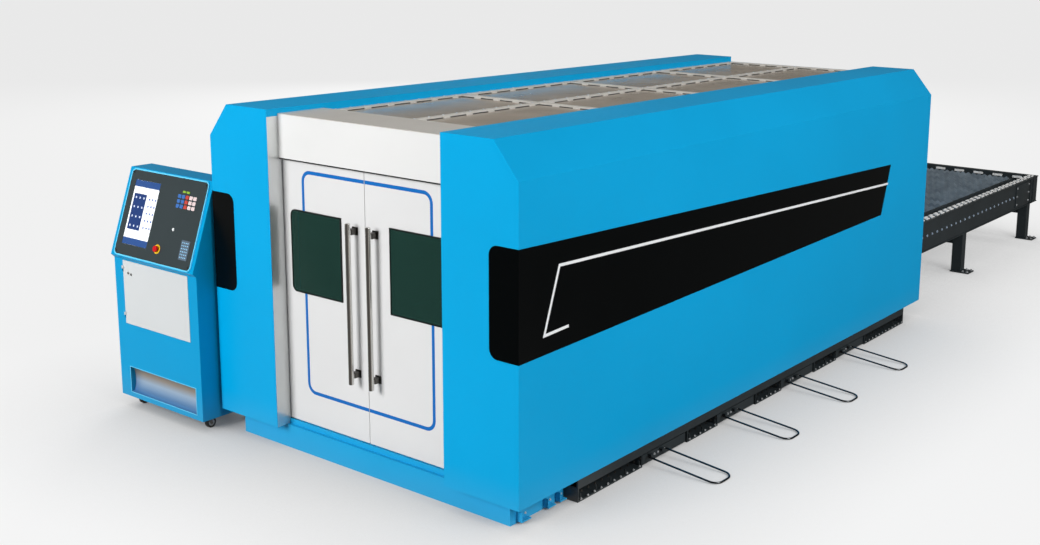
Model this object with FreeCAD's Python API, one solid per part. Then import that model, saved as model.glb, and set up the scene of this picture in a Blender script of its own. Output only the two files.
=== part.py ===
"""Enclosed fiber laser cutting machine with a two-level exchange table and a separate operator console.

All sizes are in millimetres. X runs across the machine, +Y from the doors to the exchange table and +Z up.
The origin lies on the floor, in the middle of the four anchor holes of the machine bed.
"""
import FreeCAD, Part
import math
import os

V = FreeCAD.Vector

# ---- Driving sizes -----------------------------------------------------------------------------

FIT = 0.3                      # gap between a moving piece and what guides it
SHEET = 3.0                    # wall of the folded covers

# Enclosure
ENCLOSURE_LENGTH = 5380.0
ENCLOSURE_WIDTH = 2520.0
ENCLOSURE_HEIGHT = 2150.0
SKIRT_HEIGHT = 150.0           # floor to the lower edge of the covers
CHAMFER_WIDTH = 171.0
CHAMFER_DROP = 205.0
ROOF_DROP = 46.0               # cover top down to the top of the roof frame
OPENING_HALF = 713.0           # half the clear width between the front pillars

# Doors
DOOR_RECESS = 113.0            # front plane to the face of the door leaves
DOOR_THICKNESS = 40.0
DOOR_BOTTOM = 187.0
DOOR_SPLIT = 4.0               # gap between the two leaves
DOOR_OVERLAP = 27.0            # how far a closed leaf reaches behind its pillar
DOOR_SKIN = 2.0
LEAF_RIM = 25.0
LEAF_FOOT_RIM = 40.0
WINDOW_RIM = 20.0
GROOVE_DEPTH = 20.0
WINDOW_INNER = 206.0           # centre line to the inner edge of a window
WINDOW_WIDTH = 440.0
WINDOW_BOTTOM = 1028.0
WINDOW_HEIGHT = 508.0
WINDOW_RADIUS = 36.0
WINDOW_THICKNESS = 4.0
WINDOW_LAP = 14.0              # window edge over the edge of its cut-out
HANDLE_OFFSET = 85.0           # centre line to the axis of a door handle
HANDLE_RADIUS = 16.0
HANDLE_BOTTOM = 558.0
HANDLE_LENGTH = 972.0
HANDLE_REACH = 60.0            # door face to the axis of a door handle
STANDOFF_SIZE = 26.0
STANDOFF_INSET = 50.0
HEADER_RECESS = 85.0
HEADER_DROP = 34.0             # cover top down to the top of the header
HEADER_HEIGHT = 266.0
HEADER_LAP = 50.0              # how far the header hangs down in front of the leaves
HEADER_LIP = 18.0
FLANGE_GAP = 2.0
JAMB_LIP = 25.0
JAMB_REAR_GAP = 8.0            # rear edge of a jamb to the door leaves
SILL_DEPTH = 360.0
SILL_THICKNESS = 4.0
SILL_GAP = 2.0

# Door track
TRACK_HALF_LENGTH = 1215.0
TRACK_CLEAR = 30.0             # inner width of the track
TRACK_WALL = 3.0
TRACK_LIP = 8.0
TRACK_GAP = 8.0                # leaf top to the underside of the track
TRACK_HEIGHT = 45.0
HANGER_HEIGHT = 15.0
HANGER_INSET = 20.0
SHOE_HEIGHT = 28.0
SHOE_LENGTH = 60.0
SHOE_INSET = 110.0             # leaf edge to the middle of a hanger
SHOE_WIDTH = 24.0
STEM_WIDTH = 10.0
STEM_LENGTH = 20.0
THRESHOLD_LAP = 7.0            # threshold in front of the door faces
THRESHOLD_WALL = 5.0
STEP_SETBACK = 22.0            # plinth face to the step under the doors
STEP_GAP = 4.0
RIB_THICKNESS = 4.0
RIB_CLEARANCE = 2.0
RIB_REACH = 12.0               # height of the rib inside the leaves

# Side bands
BAND_PROUD = 2.0
BAND_FRONT_WIDTH = 205.0
BAND_FRONT_BOTTOM = 968.0
BAND_FRONT_TOP = 1591.0
BAND_END_BOTTOM = 1051.0
BAND_END_TOP = 1443.0
BAND_END_BOTTOM_Y = 4480.0     # measured from the front plane
BAND_END_TOP_Y = 4620.0
BAND_RADIUS = 58.0

# Feet, drawers and plinth
FOOT_HEIGHT = 80.0
FOOT_WALL = 10.0
FOOT_INSET = 20.0              # side covers to the ends of the feet
FIRST_FOOT_START = 545.0       # front plane to the first foot
FIRST_FOOT_LENGTH = 646.0
FOOT_LENGTH = 376.0
LAST_FOOT_LENGTH = 765.0
DRAWER_COUNT = 4
BAY_LENGTH = 504.0
ANCHOR_INSET = 50.0            # end of a foot to the middle of its anchor hole
ANCHOR_SPACING_Y = 3800.0
ANCHOR_RADIUS = 11.0
RUNNER_WIDTH = 12.0
RUNNER_HEIGHT = 15.0
RUNNER_END_GAP = 20.0          # foot end to the end of a runner and of a drawer's lip
DRAWER_TOP = 70.0
DRAWER_BOTTOM = 8.0
DRAWER_WALL = 3.0
DRAWER_SIDE_GAP = 2.0
DRAWER_REAR = -1150.0
DRAWER_FRONT_GAP = 7.0
PULL_RADIUS = 6.0
PULL_SIDES = 8
PULL_WIDTH = 184.0             # between the axes of the two legs of a drawer pull
PULL_REACH = 500.0
PULL_CORNER = 48.0
PULL_SHIFT = -112.0            # bay middle to the middle of its pull
PULL_AXIS_Z = 55.0
EYE_RADIUS = 10.0
EYE_LENGTH = 26.0
EYE_INSET = 18.0               # axis of a pull's leg to the near end of its eye
PLINTH_RECESS = 78.0
PLINTH_HALF_WIDTH = 1133.0
PLINTH_WALL = 4.0
PLINTH_FOOT_LIP = 60.0
PLINTH_TOP_LIP = 82.0
CHUTE_RISE = 150.0
CHUTE_END_RISE = 225.0
CHUTE_WALL = 4.0
CHUTE_LAP = 5.0

# Bed
BED_INNER = 910.0              # centre line to the inner face of the bed frames
BED_POST_OUTER = 1130.0
BED_BASE_HEIGHT = 100.0
BED_TOP = 860.0
BED_TOP_TUBE = 160.0
BED_POST_LENGTH = 140.0
BED_POST_COUNT = 6
BED_WALL = 10.0
RAIL_X = 1060.0
RAIL_WIDTH = 25.0
RAIL_HEIGHT = 28.0
RACK_INNER = 960.0
RACK_SIZE = 25.0

# Gantry
GANTRY_REST_Y = 1600.0
GANTRY_HALF_LENGTH = 1150.0
GANTRY_DEPTH = 220.0
GANTRY_HEIGHT = 220.0
GANTRY_WALL = 8.0
GANTRY_PLATE = 40.0
GANTRY_PLATE_INNER = 950.0
GANTRY_PLATE_OUTER = 1180.0
GANTRY_PLATE_FRONT = 260.0
GANTRY_PLATE_REAR = 400.0
BLOCK_LENGTH = 90.0
BLOCK_WIDTH = 70.0
BLOCK_RISE = 17.0              # rail top to the gantry plates, less the running gap
BLOCK_FLOOR = 8.0              # bed top to the underside of a rail block
BLOCK_SHIFT = 190.0
PINION_RADIUS = 30.0
PINION_SHIFT = 320.0
PINION_LIFT = 2.0              # bed top to the underside of a pinion
PINION_CLEARANCE = 4.0
MOTOR_SIZE = 110.0
MOTOR_HEIGHT = 250.0
MOTOR_CORNER = 12.0
MOTOR_SHAFT = 12.0
CROSS_RAIL = 20.0
CROSS_RAIL_LOW = 40.0          # beam underside to the axis of the lower cross rail
CROSS_RAIL_PITCH = 140.0
CROSS_RAIL_INSET = 120.0       # beam end to the end of a cross rail
CROSS_BLOCK_LENGTH = 60.0
CROSS_BLOCK_HEIGHT = 44.0
CROSS_BLOCK_SHIFT = 70.0
CROSS_BLOCK_GAP = 4.0
CROSS_TRAVEL = 1520.0
CARRIAGE_WIDTH = 220.0
CARRIAGE_PLATE = 20.0
CARRIAGE_BELOW = 30.0          # lower cross rail down to the foot of the plate
CARRIAGE_ABOVE = 60.0          # upper cross rail up to the motor shelf
SHELF_THICKNESS = 12.0
SHELF_REACH = 70.0
SHELF_INSET = 20.0
LIFT_GUIDE = 16.0
LIFT_WIDTH = 150.0
LIFT_DEPTH = 24.0
LIFT_BELOW = 10.0              # beam underside down to the foot of the slide
LIFT_ABOVE = 18.0              # top of the slide down from the top of the motor shelf
LIFT_ARM = 12.0
LIFT_ARM_ABOVE = 22.0
HEAD_RADIUS = 42.0
HEAD_CLAMP = 14.0
HEAD_CLAMP_WIDTH = 70.0
HEAD_CLAMP_SPAN = (110.0, 190.0)
HEAD_STEPS = (206.0, 330.0)     # nozzle tip to the top of the barrel and of the collar
HEAD_NECK = 18.0
NOZZLE_LENGTH = 55.0
NOZZLE_REST_Z = 898.0
SCREW_RADIUS = 8.0
SCREW_LENGTH = 200.0
NOZZLE_TIP = 4.0
NOZZLE_ROOT = 18.0
LIFT_MOTOR = 80.0
LIFT_MOTOR_HEIGHT = 140.0
LIFT_MOTOR_CORNER = 10.0
LIFT_MOTOR_REACH = 68.0

# Pallets
LEVEL_STEP = 145.0             # upper pallet over lower pallet
UPPER_RAIL_TOP = 610.0
PALLET_RAIL_HEIGHT = 40.0
PALLET_RAIL_WIDTH = 40.0
PALLET_LENGTH = 3060.0
PALLET_HALF_WIDTH = 900.0
PALLET_BAR = 40.0
PALLET_BAR_HEIGHT = 55.0
PALLET_WALL = 5.0
PALLET_INSIDE_Y = -180.0
PALLET_TRAVEL = 4800.0
PALLET_WHEELS = 3
PALLET_WHEEL_RADIUS = 22.0
PALLET_WHEEL_WIDTH = 18.0
PALLET_WHEEL_INSET = 120.0
PALLET_WHEEL_SIDE = 4.0
PALLET_GROUND = 15.0           # rail top to the underside of a pallet
PALLET_RAIL_START = 300.0      # front end of the bed to the front end of the rails
COMB_WALL = 8.0
COMB_SHARE = 0.7               # share of a slat's height held in its notches
SLAT_PITCH = 150.0
SLAT_END_MARGIN = 90.0
SLAT_WALL = 6.0
SLAT_HEIGHT = 85.0
SLAT_TOOTH = 240.0
SLAT_TOOTH_DEPTH = 25.0
SLAT_SIDE_FIT = 0.3
SLAT_END_FIT = 2.0
SLAT_SEAT = 5.0                # cross tubes to the underside of the slats
CROSS_TUBE_WIDTH = 60.0
CROSS_TUBE_HEIGHT = 20.0
CROSS_TUBE_COUNT = 4

# Exchange table
TABLE_END = 9300.0             # front plane to the far end of the table
TABLE_HALF_WIDTH = 990.0
TABLE_BEAM_BOTTOM = 400.0
TABLE_BEAM_TOP = 690.0
TABLE_WALL = 6.0
TABLE_END_RAIL = 80.0
TABLE_END_RAIL_HEIGHT = 90.0
LEG_SIZE = 100.0
LEG_X = 925.0
LEG_PLACES = (7170.0, 9100.0)  # measured from the front plane
LEG_TIE_BOTTOM = 280.0
LEG_TIE_HEIGHT = 60.0
FOOT_PLATE = 12.0
FOOT_PLATE_LENGTH = 190.0
FOOT_PLATE_WIDTH = 152.0
TABLE_ANCHOR_RADIUS = 9.0
TABLE_ANCHOR_SHIFT = 70.0      # leg axis out to its anchor hole
CHAIN_X = 826.0
CHAIN_Z = 385.0
CHAIN_WIDTH = 12.0
CHAIN_THICKNESS = 8.0
CHAIN_REAR_SHIFT = 140.0       # far legs to the drive shaft
SPROCKET_RADIUS = 22.0
SHAFT_RADIUS = 15.0
SHAFT_FIT = 0.05
SHAFT_END_GAP = 30.0
BEARING_WIDTH = 38.0
BEARING_LENGTH = 70.0
BEARING_DROP = 35.0            # shaft axis to the underside of its bearing
BEARING_BORE = 18.0
GEARBOX_SIZE = 120.0
GEARBOX_HEIGHT = 108.0
GEARMOTOR_RADIUS = 48.0
GEARMOTOR_LENGTH = 230.0
TORQUE_ARM = 40.0
PORT_BOTTOM = 340.0
PORT_TOP = 790.0
DUCT_RADIUS = 100.0
DUCT_REACH = 60.0
DUCT_Y = 1900.0
DUCT_Z = 480.0

# Roof
ROOF_BAR = 40.0
ROOF_BAR_HEIGHT = 40.0
ROOF_LEDGE = 10.0
ROOF_LEDGE_HEIGHT = 20.0
ROOF_ROWS = 4
PANE_THICKNESS = 6.0
PANE_GAP = 1.0

# Console
CONSOLE_RIGHT = -1290.0
CONSOLE_WIDTH = 890.0
CONSOLE_FRONT = -130.0         # from the front plane
CONSOLE_DEPTH = 500.0
CONSOLE_BOTTOM = 85.0
CONSOLE_SHOULDER = 1045.0
CONSOLE_WALL = 2.0
PANEL_TILT = 18.6              # degrees back from upright
PANEL_NOSE = 25.0              # how far the head stands out over the body
PANEL_LENGTH = 600.0
PANEL_MARGIN = 40.0
PANEL_END_MARGIN = 15.0
PANEL_THICKNESS = 5.0
PANEL_RADIUS = 30.0
HEAD_TOP_DEPTH = 155.0
HEAD_BACK_Z = 1300.0
SCREEN_LEFT = 56.0             # from the left edge of the panel
SCREEN_BOTTOM = 89.0
SCREEN_WIDTH = 272.0
SCREEN_HEIGHT = 433.0
SCREEN_THICKNESS = 3.0
STOP_LEFT = 444.0
STOP_UP = 103.0
STOP_RADIUS = 20.0
STOP_STEM = 10.0
STOP_CAP = 12.0
STOP_TRAVEL = 6.0
STOP_SPARE = 2.0               # gap left under the cap when it is pushed in
STOP_REACH = 25.0
CONSOLE_DOOR_LEFT = 92.0
CONSOLE_DOOR_RIGHT = 92.0
CONSOLE_DOOR_BOTTOM = 600.0
CONSOLE_DOOR_DROP = 5.0        # shoulder of the console down to its door opening
CONSOLE_DOOR_THICKNESS = 18.0
CONSOLE_DOOR_GAP = 2.0
CONSOLE_DOOR_PROUD = 1.0
KNUCKLE_RADIUS = 4.7
KNUCKLE_LENGTH = 20.0
KNUCKLE_HALF = 3.4             # half width of the fixed knuckles, which the opening door must clear
KNUCKLE_INSET = 60.0           # door edge to the near knuckle of a hinge
HINGE_PAD = 12.0
HINGE_PIN_RADIUS = 2.5
HINGE_PIN_FIT = 0.05
NICHE_LEFT = 110.0
NICHE_RIGHT = 60.0
NICHE_BOTTOM = 120.0
NICHE_TOP = 300.0
NICHE_DEPTH = 40.0
CASTER_WHEEL_RADIUS = 35.0
CASTER_WHEEL_WIDTH = 24.0
CASTER_TRAIL = 22.0
CASTER_INSET_X = 80.0
CASTER_INSET_Y = 90.0
CASTER_TOP = 46.0
CASTER_PLATE = 8.0
CASTER_LEG = 3.0
CASTER_SIDE_GAP = 2.0
CASTER_LEG_FRONT = 14.0        # swivel axis to the front edge of a fork leg at its top
CASTER_LEG_REAR = 20.0
CASTER_LEG_FOOT = 9.0
CASTER_AXLE_RADIUS = 4.0
CASTER_BORE_FIT = 0.08

# ---- Places worked out from the driving sizes --------------------------------------------------

FRONT = -ENCLOSURE_LENGTH / 2
REAR = ENCLOSURE_LENGTH / 2
SIDE = ENCLOSURE_WIDTH / 2
FOOT_HALF_WIDTH = SIDE - FOOT_INSET
ANCHOR_SPACING_X = 2 * (FOOT_HALF_WIDTH - ANCHOR_INSET)
DOOR_FACE = FRONT + DOOR_RECESS
DOOR_BACK = DOOR_FACE + DOOR_THICKNESS
DOOR_MIDDLE = (DOOR_FACE + DOOR_BACK) / 2
HEADER_FACE = FRONT + HEADER_RECESS
HEADER_TOP = ENCLOSURE_HEIGHT - HEADER_DROP
HEADER_BOTTOM = HEADER_TOP - HEADER_HEIGHT
DOOR_TOP = HEADER_BOTTOM + HEADER_LAP
ROOF_TOP = ENCLOSURE_HEIGHT - ROOF_DROP
CHAMFER_FOOT = ENCLOSURE_HEIGHT - CHAMFER_DROP
PLINTH_FACE = FRONT + PLINTH_RECESS
BED_FRONT = FRONT + FIRST_FOOT_START
BAY_PERIOD = BAY_LENGTH + FOOT_LENGTH
FIRST_BAY = BED_FRONT + FIRST_FOOT_LENGTH
LAST_FOOT = FIRST_BAY + DRAWER_COUNT * BAY_LENGTH + (DRAWER_COUNT - 1) * FOOT_LENGTH
BED_REAR = LAST_FOOT + LAST_FOOT_LENGTH
LOWER_RAIL_TOP = UPPER_RAIL_TOP - LEVEL_STEP
TABLE_FAR = FRONT + TABLE_END
CHAIN_FRONT_Y = BED_FRONT + BED_POST_LENGTH / 2
CHAIN_REAR_Y = FRONT + LEG_PLACES[-1] - CHAIN_REAR_SHIFT
CONSOLE_LEFT = CONSOLE_RIGHT - CONSOLE_WIDTH
CONSOLE_FACE = FRONT + CONSOLE_FRONT
CONSOLE_BACK = CONSOLE_FACE + CONSOLE_DEPTH
CONSOLE_DOOR_TOP = CONSOLE_SHOULDER - CONSOLE_DOOR_DROP
HINGE_X = CONSOLE_LEFT + CONSOLE_DOOR_LEFT + CONSOLE_DOOR_GAP / 2
HINGE_Y = CONSOLE_FACE - CONSOLE_DOOR_PROUD - KNUCKLE_RADIUS - FIT
RAIL_TOP = BED_TOP + RAIL_HEIGHT
PLATE_BOTTOM = RAIL_TOP + FIT + BLOCK_RISE
BEAM_BOTTOM = PLATE_BOTTOM + GANTRY_PLATE
BEAM_FACE = GANTRY_REST_Y - GANTRY_DEPTH / 2
CARRIAGE_X = -CROSS_TRAVEL / 2
CARRIAGE_FACE = BEAM_FACE - CROSS_RAIL - FIT - CARRIAGE_PLATE


# ---- Shape helpers -----------------------------------------------------------------------------

def box(x, y, z):
    """Block between the low and the high limit on each axis."""
    return Part.makeBox(x[1] - x[0], y[1] - y[0], z[1] - z[0], V(x[0], y[0], z[0]))


def centred(middle, size):
    """Span of a given size about its middle."""
    return (middle - size / 2, middle + size / 2)


def prism(points, along, span):
    """Straight solid over a span of one axis, from outline points in the two other axes."""
    low, high = span
    place = {
        "x": lambda a, b: V(low, a, b),
        "y": lambda a, b: V(a, low, b),
        "z": lambda a, b: V(a, b, low),
    }[along]
    direction = {"x": V(1, 0, 0), "y": V(0, 1, 0), "z": V(0, 0, 1)}[along]
    corners = [place(a, b) for a, b in points]
    outline = Part.makePolygon(corners + corners[:1])
    return Part.Face(outline).extrude(direction * (high - low))


def cylinder(radius, base, direction, length):
    """Round bar from its base point."""
    return Part.makeCylinder(radius, length, V(*base), V(*direction))


def hollow(x, y, z, wall, along):
    """Rectangular hollow section, open at the two ends of one axis."""
    spans = {"x": x, "y": y, "z": z}
    inner = {name: (low + wall, high - wall) for name, (low, high) in spans.items()}
    low, high = spans[along]
    inner[along] = (low - 1, high + 1)
    return box(x, y, z).cut(box(inner["x"], inner["y"], inner["z"]))


def folded(points, wall):
    """Outline of a sheet folded along points, with its wall on the left of the walk."""
    inner = []
    for index, (a, b) in enumerate(points):
        normals = []
        for first, second in ((index - 1, index), (index, index + 1)):
            if 0 <= first and second < len(points):
                run = V(points[second][0] - points[first][0], points[second][1] - points[first][1], 0)
                run.normalize()
                normals.append(V(-run.y, run.x, 0))
        lean = normals[0] + normals[-1]
        shift = lean * (2 * wall / lean.dot(lean))
        inner.append((a + shift.x, b + shift.y))
    return points + inner[::-1]


def join(shapes):
    """One solid from shapes that touch or cross."""
    whole = shapes[0].fuse(shapes[1:])
    return whole.removeSplitter()


def mirrored(shape):
    """The same shape on the other side of the machine's middle plane."""
    return shape.mirror(V(0, 0, 0), V(1, 0, 0))


def both_sides(shapes):
    """Shapes of one side with their copies on the other side."""
    return shapes + [mirrored(shape) for shape in shapes]


def round_edges(shape, radius, chosen):
    """Fillet of the edges whose middle point is chosen."""
    edges = [edge for edge in shape.Edges if chosen(edge.CenterOfMass)]
    return shape.makeFillet(radius, edges)


def spread(first, last, count):
    """Evenly spaced places from first to last."""
    return [first + (last - first) * index / (count - 1) for index in range(count)]


# ---- Feet, drawers and plinth ------------------------------------------------------------------

def foot_spans():
    """Y span of each foot beam, from the doors backwards."""
    spans = [(BED_FRONT, FIRST_BAY)]
    for index in range(1, DRAWER_COUNT):
        start = FIRST_BAY + index * BAY_PERIOD - FOOT_LENGTH
        spans.append((start, start + FOOT_LENGTH))
    spans.append((LAST_FOOT, BED_REAR))
    return spans


def bay_middles():
    """Y middle of each drawer bay."""
    return [FIRST_BAY + BAY_LENGTH / 2 + index * BAY_PERIOD for index in range(DRAWER_COUNT)]


def foot_beams():
    """Channels under the bed, open side up, with the bars that the drawers run on."""
    solids = []
    x = (-FOOT_HALF_WIDTH, FOOT_HALF_WIDTH)
    for y in foot_spans():
        inner = box((x[0] - 1, x[1] + 1), (y[0] + FOOT_WALL, y[1] - FOOT_WALL), (FOOT_WALL, FOOT_HEIGHT + 1))
        beam = box(x, y, (0, FOOT_HEIGHT)).cut(inner)
        for hole_y in (-ANCHOR_SPACING_Y / 2, ANCHOR_SPACING_Y / 2):
            if y[0] < hole_y < y[1]:
                for hole_x in (-ANCHOR_SPACING_X / 2, ANCHOR_SPACING_X / 2):
                    beam = beam.cut(cylinder(ANCHOR_RADIUS, (hole_x, hole_y, -1), (0, 0, 1), FOOT_WALL + 2))
        solids.append(beam)
    top = DRAWER_TOP - DRAWER_WALL - FIT
    for middle in bay_middles():
        for side in (-1, 1):
            wall = middle + side * BAY_LENGTH / 2
            y = sorted((wall, wall - side * RUNNER_WIDTH))
            solids.append(box((DRAWER_REAR, FOOT_HALF_WIDTH - RUNNER_END_GAP), y, (top - RUNNER_HEIGHT, top)))
    return solids


def drawer(middle):
    """Scrap tray with outward lips, a front plate and two eyes for its pull."""
    lip = BAY_LENGTH / 2 - DRAWER_SIDE_GAP
    body = lip - RUNNER_WIDTH
    front = FOOT_HALF_WIDTH - DRAWER_FRONT_GAP
    x = (DRAWER_REAR, front)
    tray = box(x, (middle - body, middle + body), (DRAWER_BOTTOM, DRAWER_TOP))
    tray = tray.cut(box((x[0] + DRAWER_WALL, x[1] - DRAWER_WALL),
                        (middle - body + DRAWER_WALL, middle + body - DRAWER_WALL),
                        (DRAWER_BOTTOM + DRAWER_WALL, DRAWER_TOP + 1)))
    pieces = [tray]
    for side in (-1, 1):
        y = sorted((middle + side * (body - 1), middle + side * lip))
        pieces.append(box((DRAWER_REAR, FOOT_HALF_WIDTH - RUNNER_END_GAP), y,
                          (DRAWER_TOP - DRAWER_WALL, DRAWER_TOP)))
    eye_x = FOOT_HALF_WIDTH + EYE_RADIUS
    for y in eye_middles(middle):
        eye = box((front - 1, eye_x + EYE_RADIUS), centred(y, EYE_LENGTH),
                  centred(PULL_AXIS_Z, 2 * EYE_RADIUS))
        bore = cylinder(PULL_RADIUS + FIT, (eye_x, y - EYE_LENGTH, PULL_AXIS_Z), (0, 1, 0), 2 * EYE_LENGTH)
        pieces.append(eye.cut(bore))
    return [join(pieces)]


def eye_middles(middle):
    """Y middle of the two eyes that hold a drawer's pull."""
    reach = PULL_WIDTH / 2 - EYE_LENGTH / 2 - EYE_INSET
    return (middle + PULL_SHIFT - reach, middle + PULL_SHIFT + reach)


def drawer_pull(middle):
    """Closed loop of eight-sided bar that hinges in the eyes and rests its nose on the floor."""
    pivot_x = FOOT_HALF_WIDTH + EYE_RADIUS
    drop = PULL_AXIS_Z - PULL_RADIUS - FIT
    run = math.sqrt(PULL_REACH ** 2 - drop ** 2)
    half = PULL_WIDTH / 2
    centre = middle + PULL_SHIFT

    def at(reach, side):
        share = reach / PULL_REACH
        return V(pivot_x + run * share, centre + side, PULL_AXIS_Z - drop * share)

    corners = [at(0, -half), at(PULL_REACH - PULL_CORNER, -half), at(PULL_REACH, -half + PULL_CORNER),
               at(PULL_REACH, half - PULL_CORNER), at(PULL_REACH - PULL_CORNER, half), at(0, half)]
    path = Part.makePolygon(corners + corners[:1])
    start = (corners[-1] + corners[0]) * 0.5
    edges = [Part.makeLine(start, corners[0])]
    edges += path.Edges[:-1]
    edges.append(Part.makeLine(corners[-1], start))
    turns = [math.radians(360 * (index + 0.5) / PULL_SIDES) for index in range(PULL_SIDES)]
    ring = Part.makePolygon([start + V(math.cos(turn), 0, math.sin(turn)) * PULL_RADIUS for turn in turns]
                            + [start + V(math.cos(turns[0]), 0, math.sin(turns[0])) * PULL_RADIUS])
    sweep = Part.BRepOffsetAPI.MakePipeShell(Part.Wire(edges))
    sweep.setTransitionMode(1)
    sweep.add(ring)
    sweep.build()
    sweep.makeSolid()
    return [Part.Solid(sweep.shape())]


def front_plinth():
    """Kick frame under the doors: a channel across the front with a side plate back to the first foot."""
    x = (-PLINTH_HALF_WIDTH, PLINTH_HALF_WIDTH)
    wall = PLINTH_WALL
    channel = folded([(PLINTH_FACE + PLINTH_FOOT_LIP, 0), (PLINTH_FACE, 0), (PLINTH_FACE, SKIRT_HEIGHT),
                      (PLINTH_FACE + PLINTH_TOP_LIP, SKIRT_HEIGHT)], -wall)
    pieces = [prism(channel, "x", x)]
    for side in (-1, 1):
        span = sorted((side * PLINTH_HALF_WIDTH, side * (PLINTH_HALF_WIDTH - wall)))
        pieces.append(box(span, (PLINTH_FACE + wall, BED_FRONT), (0, SKIRT_HEIGHT)))
    return [join(pieces)]


def scrap_chutes():
    """Sloping sheets over the feet that lead the scrap into the drawers."""
    span = (-BED_INNER + CHUTE_LAP, BED_INNER - CHUTE_LAP)
    solids = []
    first, last = foot_spans()[0], foot_spans()[-1]
    end_top = FOOT_HEIGHT + CHUTE_END_RISE
    walks = [[(first[0] + CHUTE_LAP, end_top), (first[1], FOOT_HEIGHT)]]
    ridge = FOOT_HEIGHT + CHUTE_RISE
    for start, end in foot_spans()[1:-1]:
        walks.append([(start, FOOT_HEIGHT), ((start + end) / 2, ridge), (end, FOOT_HEIGHT)])
    walks.append([(last[0], FOOT_HEIGHT), (last[1] - CHUTE_LAP, end_top)])
    for walk, (start, end) in zip(walks, foot_spans()):
        keep = box(span, (start, end), (FOOT_HEIGHT, end_top + CHUTE_RISE))
        solids.append(prism(folded(walk, CHUTE_WALL), "x", span).common(keep))
    return solids


# ---- Bed and gantry ----------------------------------------------------------------------------

def bed_frames():
    """Welded frame of hollow sections on each side: base, posts and the top tube that carries the rail."""
    y = (BED_FRONT, BED_REAR)
    top_tube = BED_TOP - BED_TOP_TUBE
    base_top = FOOT_HEIGHT + BED_BASE_HEIGHT
    side = [hollow((BED_INNER, FOOT_HALF_WIDTH), y, (FOOT_HEIGHT, base_top), BED_WALL, "y"),
            hollow((BED_INNER, BED_POST_OUTER), y, (top_tube, BED_TOP), BED_WALL, "y")]
    half = BED_POST_LENGTH / 2
    for middle in spread(BED_FRONT + half, BED_REAR - half, BED_POST_COUNT):
        side.append(hollow((BED_INNER, BED_POST_OUTER), centred(middle, BED_POST_LENGTH),
                           (base_top, top_tube), BED_WALL, "z"))
    return both_sides(side)


def y_guides():
    """Linear rail and rack on each bed frame."""
    y = (BED_FRONT, BED_REAR)
    rail = box(centred(RAIL_X, RAIL_WIDTH), y, (BED_TOP, RAIL_TOP))
    rack = box((RACK_INNER, RACK_INNER + RACK_SIZE), y, (BED_TOP, BED_TOP + RACK_SIZE))
    return both_sides([rail, rack])


def gantry_ends():
    """Plate with two rail blocks at each end of the gantry."""
    y = (GANTRY_REST_Y - GANTRY_PLATE_FRONT, GANTRY_REST_Y + GANTRY_PLATE_REAR)
    plate = box((GANTRY_PLATE_INNER, GANTRY_PLATE_OUTER), y, (PLATE_BOTTOM, BEAM_BOTTOM))
    pinion_x = RACK_INNER + RACK_SIZE + PINION_RADIUS + FIT
    pinion_y = GANTRY_REST_Y + PINION_SHIFT
    window = 2 * (PINION_RADIUS + PINION_CLEARANCE)
    plate = plate.cut(box(centred(pinion_x, window), centred(pinion_y, window),
                          (PLATE_BOTTOM - 1, BEAM_BOTTOM + 1)))
    pieces = [plate]
    slot = box(centred(RAIL_X, RAIL_WIDTH + 2 * FIT), (y[0] - 1, y[1] + 1),
               (BED_TOP - 1, RAIL_TOP + FIT))
    for shift in (-BLOCK_SHIFT, BLOCK_SHIFT):
        block = box(centred(RAIL_X, BLOCK_WIDTH), centred(GANTRY_REST_Y + shift, BLOCK_LENGTH),
                    (BED_TOP + BLOCK_FLOOR, PLATE_BOTTOM))
        pieces.append(block.cut(slot))
    return both_sides([join(pieces)])


def gantry_beam():
    """Hollow cross beam."""
    return [hollow((-GANTRY_HALF_LENGTH, GANTRY_HALF_LENGTH), centred(GANTRY_REST_Y, GANTRY_DEPTH),
                   (BEAM_BOTTOM, BEAM_BOTTOM + GANTRY_HEIGHT), GANTRY_WALL, "x")]


def gantry_motors():
    """Gearmotor on each gantry end, with its pinion beside the rack."""
    x = RACK_INNER + RACK_SIZE + PINION_RADIUS + FIT
    y = GANTRY_REST_Y + PINION_SHIFT
    top = BEAM_BOTTOM + MOTOR_HEIGHT
    body = box(centred(x, MOTOR_SIZE), centred(y, MOTOR_SIZE), (BEAM_BOTTOM, top))
    upright = [edge for edge in body.Edges if abs(edge.CenterOfMass.z - (BEAM_BOTTOM + top) / 2) < 1]
    body = body.makeChamfer(MOTOR_CORNER, upright)
    low = BED_TOP + PINION_LIFT
    shaft = cylinder(MOTOR_SHAFT, (x, y, low), (0, 0, 1), BEAM_BOTTOM - BED_TOP)
    pinion = cylinder(PINION_RADIUS, (x, y, low), (0, 0, 1), RACK_SIZE)
    return both_sides([join([body, shaft, pinion])])


def x_rails():
    """Two cross rails on the beam's front face."""
    y = (BEAM_FACE - CROSS_RAIL, BEAM_FACE)
    low = BEAM_BOTTOM + CROSS_RAIL_LOW
    reach = GANTRY_HALF_LENGTH - CROSS_RAIL_INSET
    return [box((-reach, reach), y, centred(z, CROSS_RAIL)) for z in (low, low + CROSS_RAIL_PITCH)]


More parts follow.
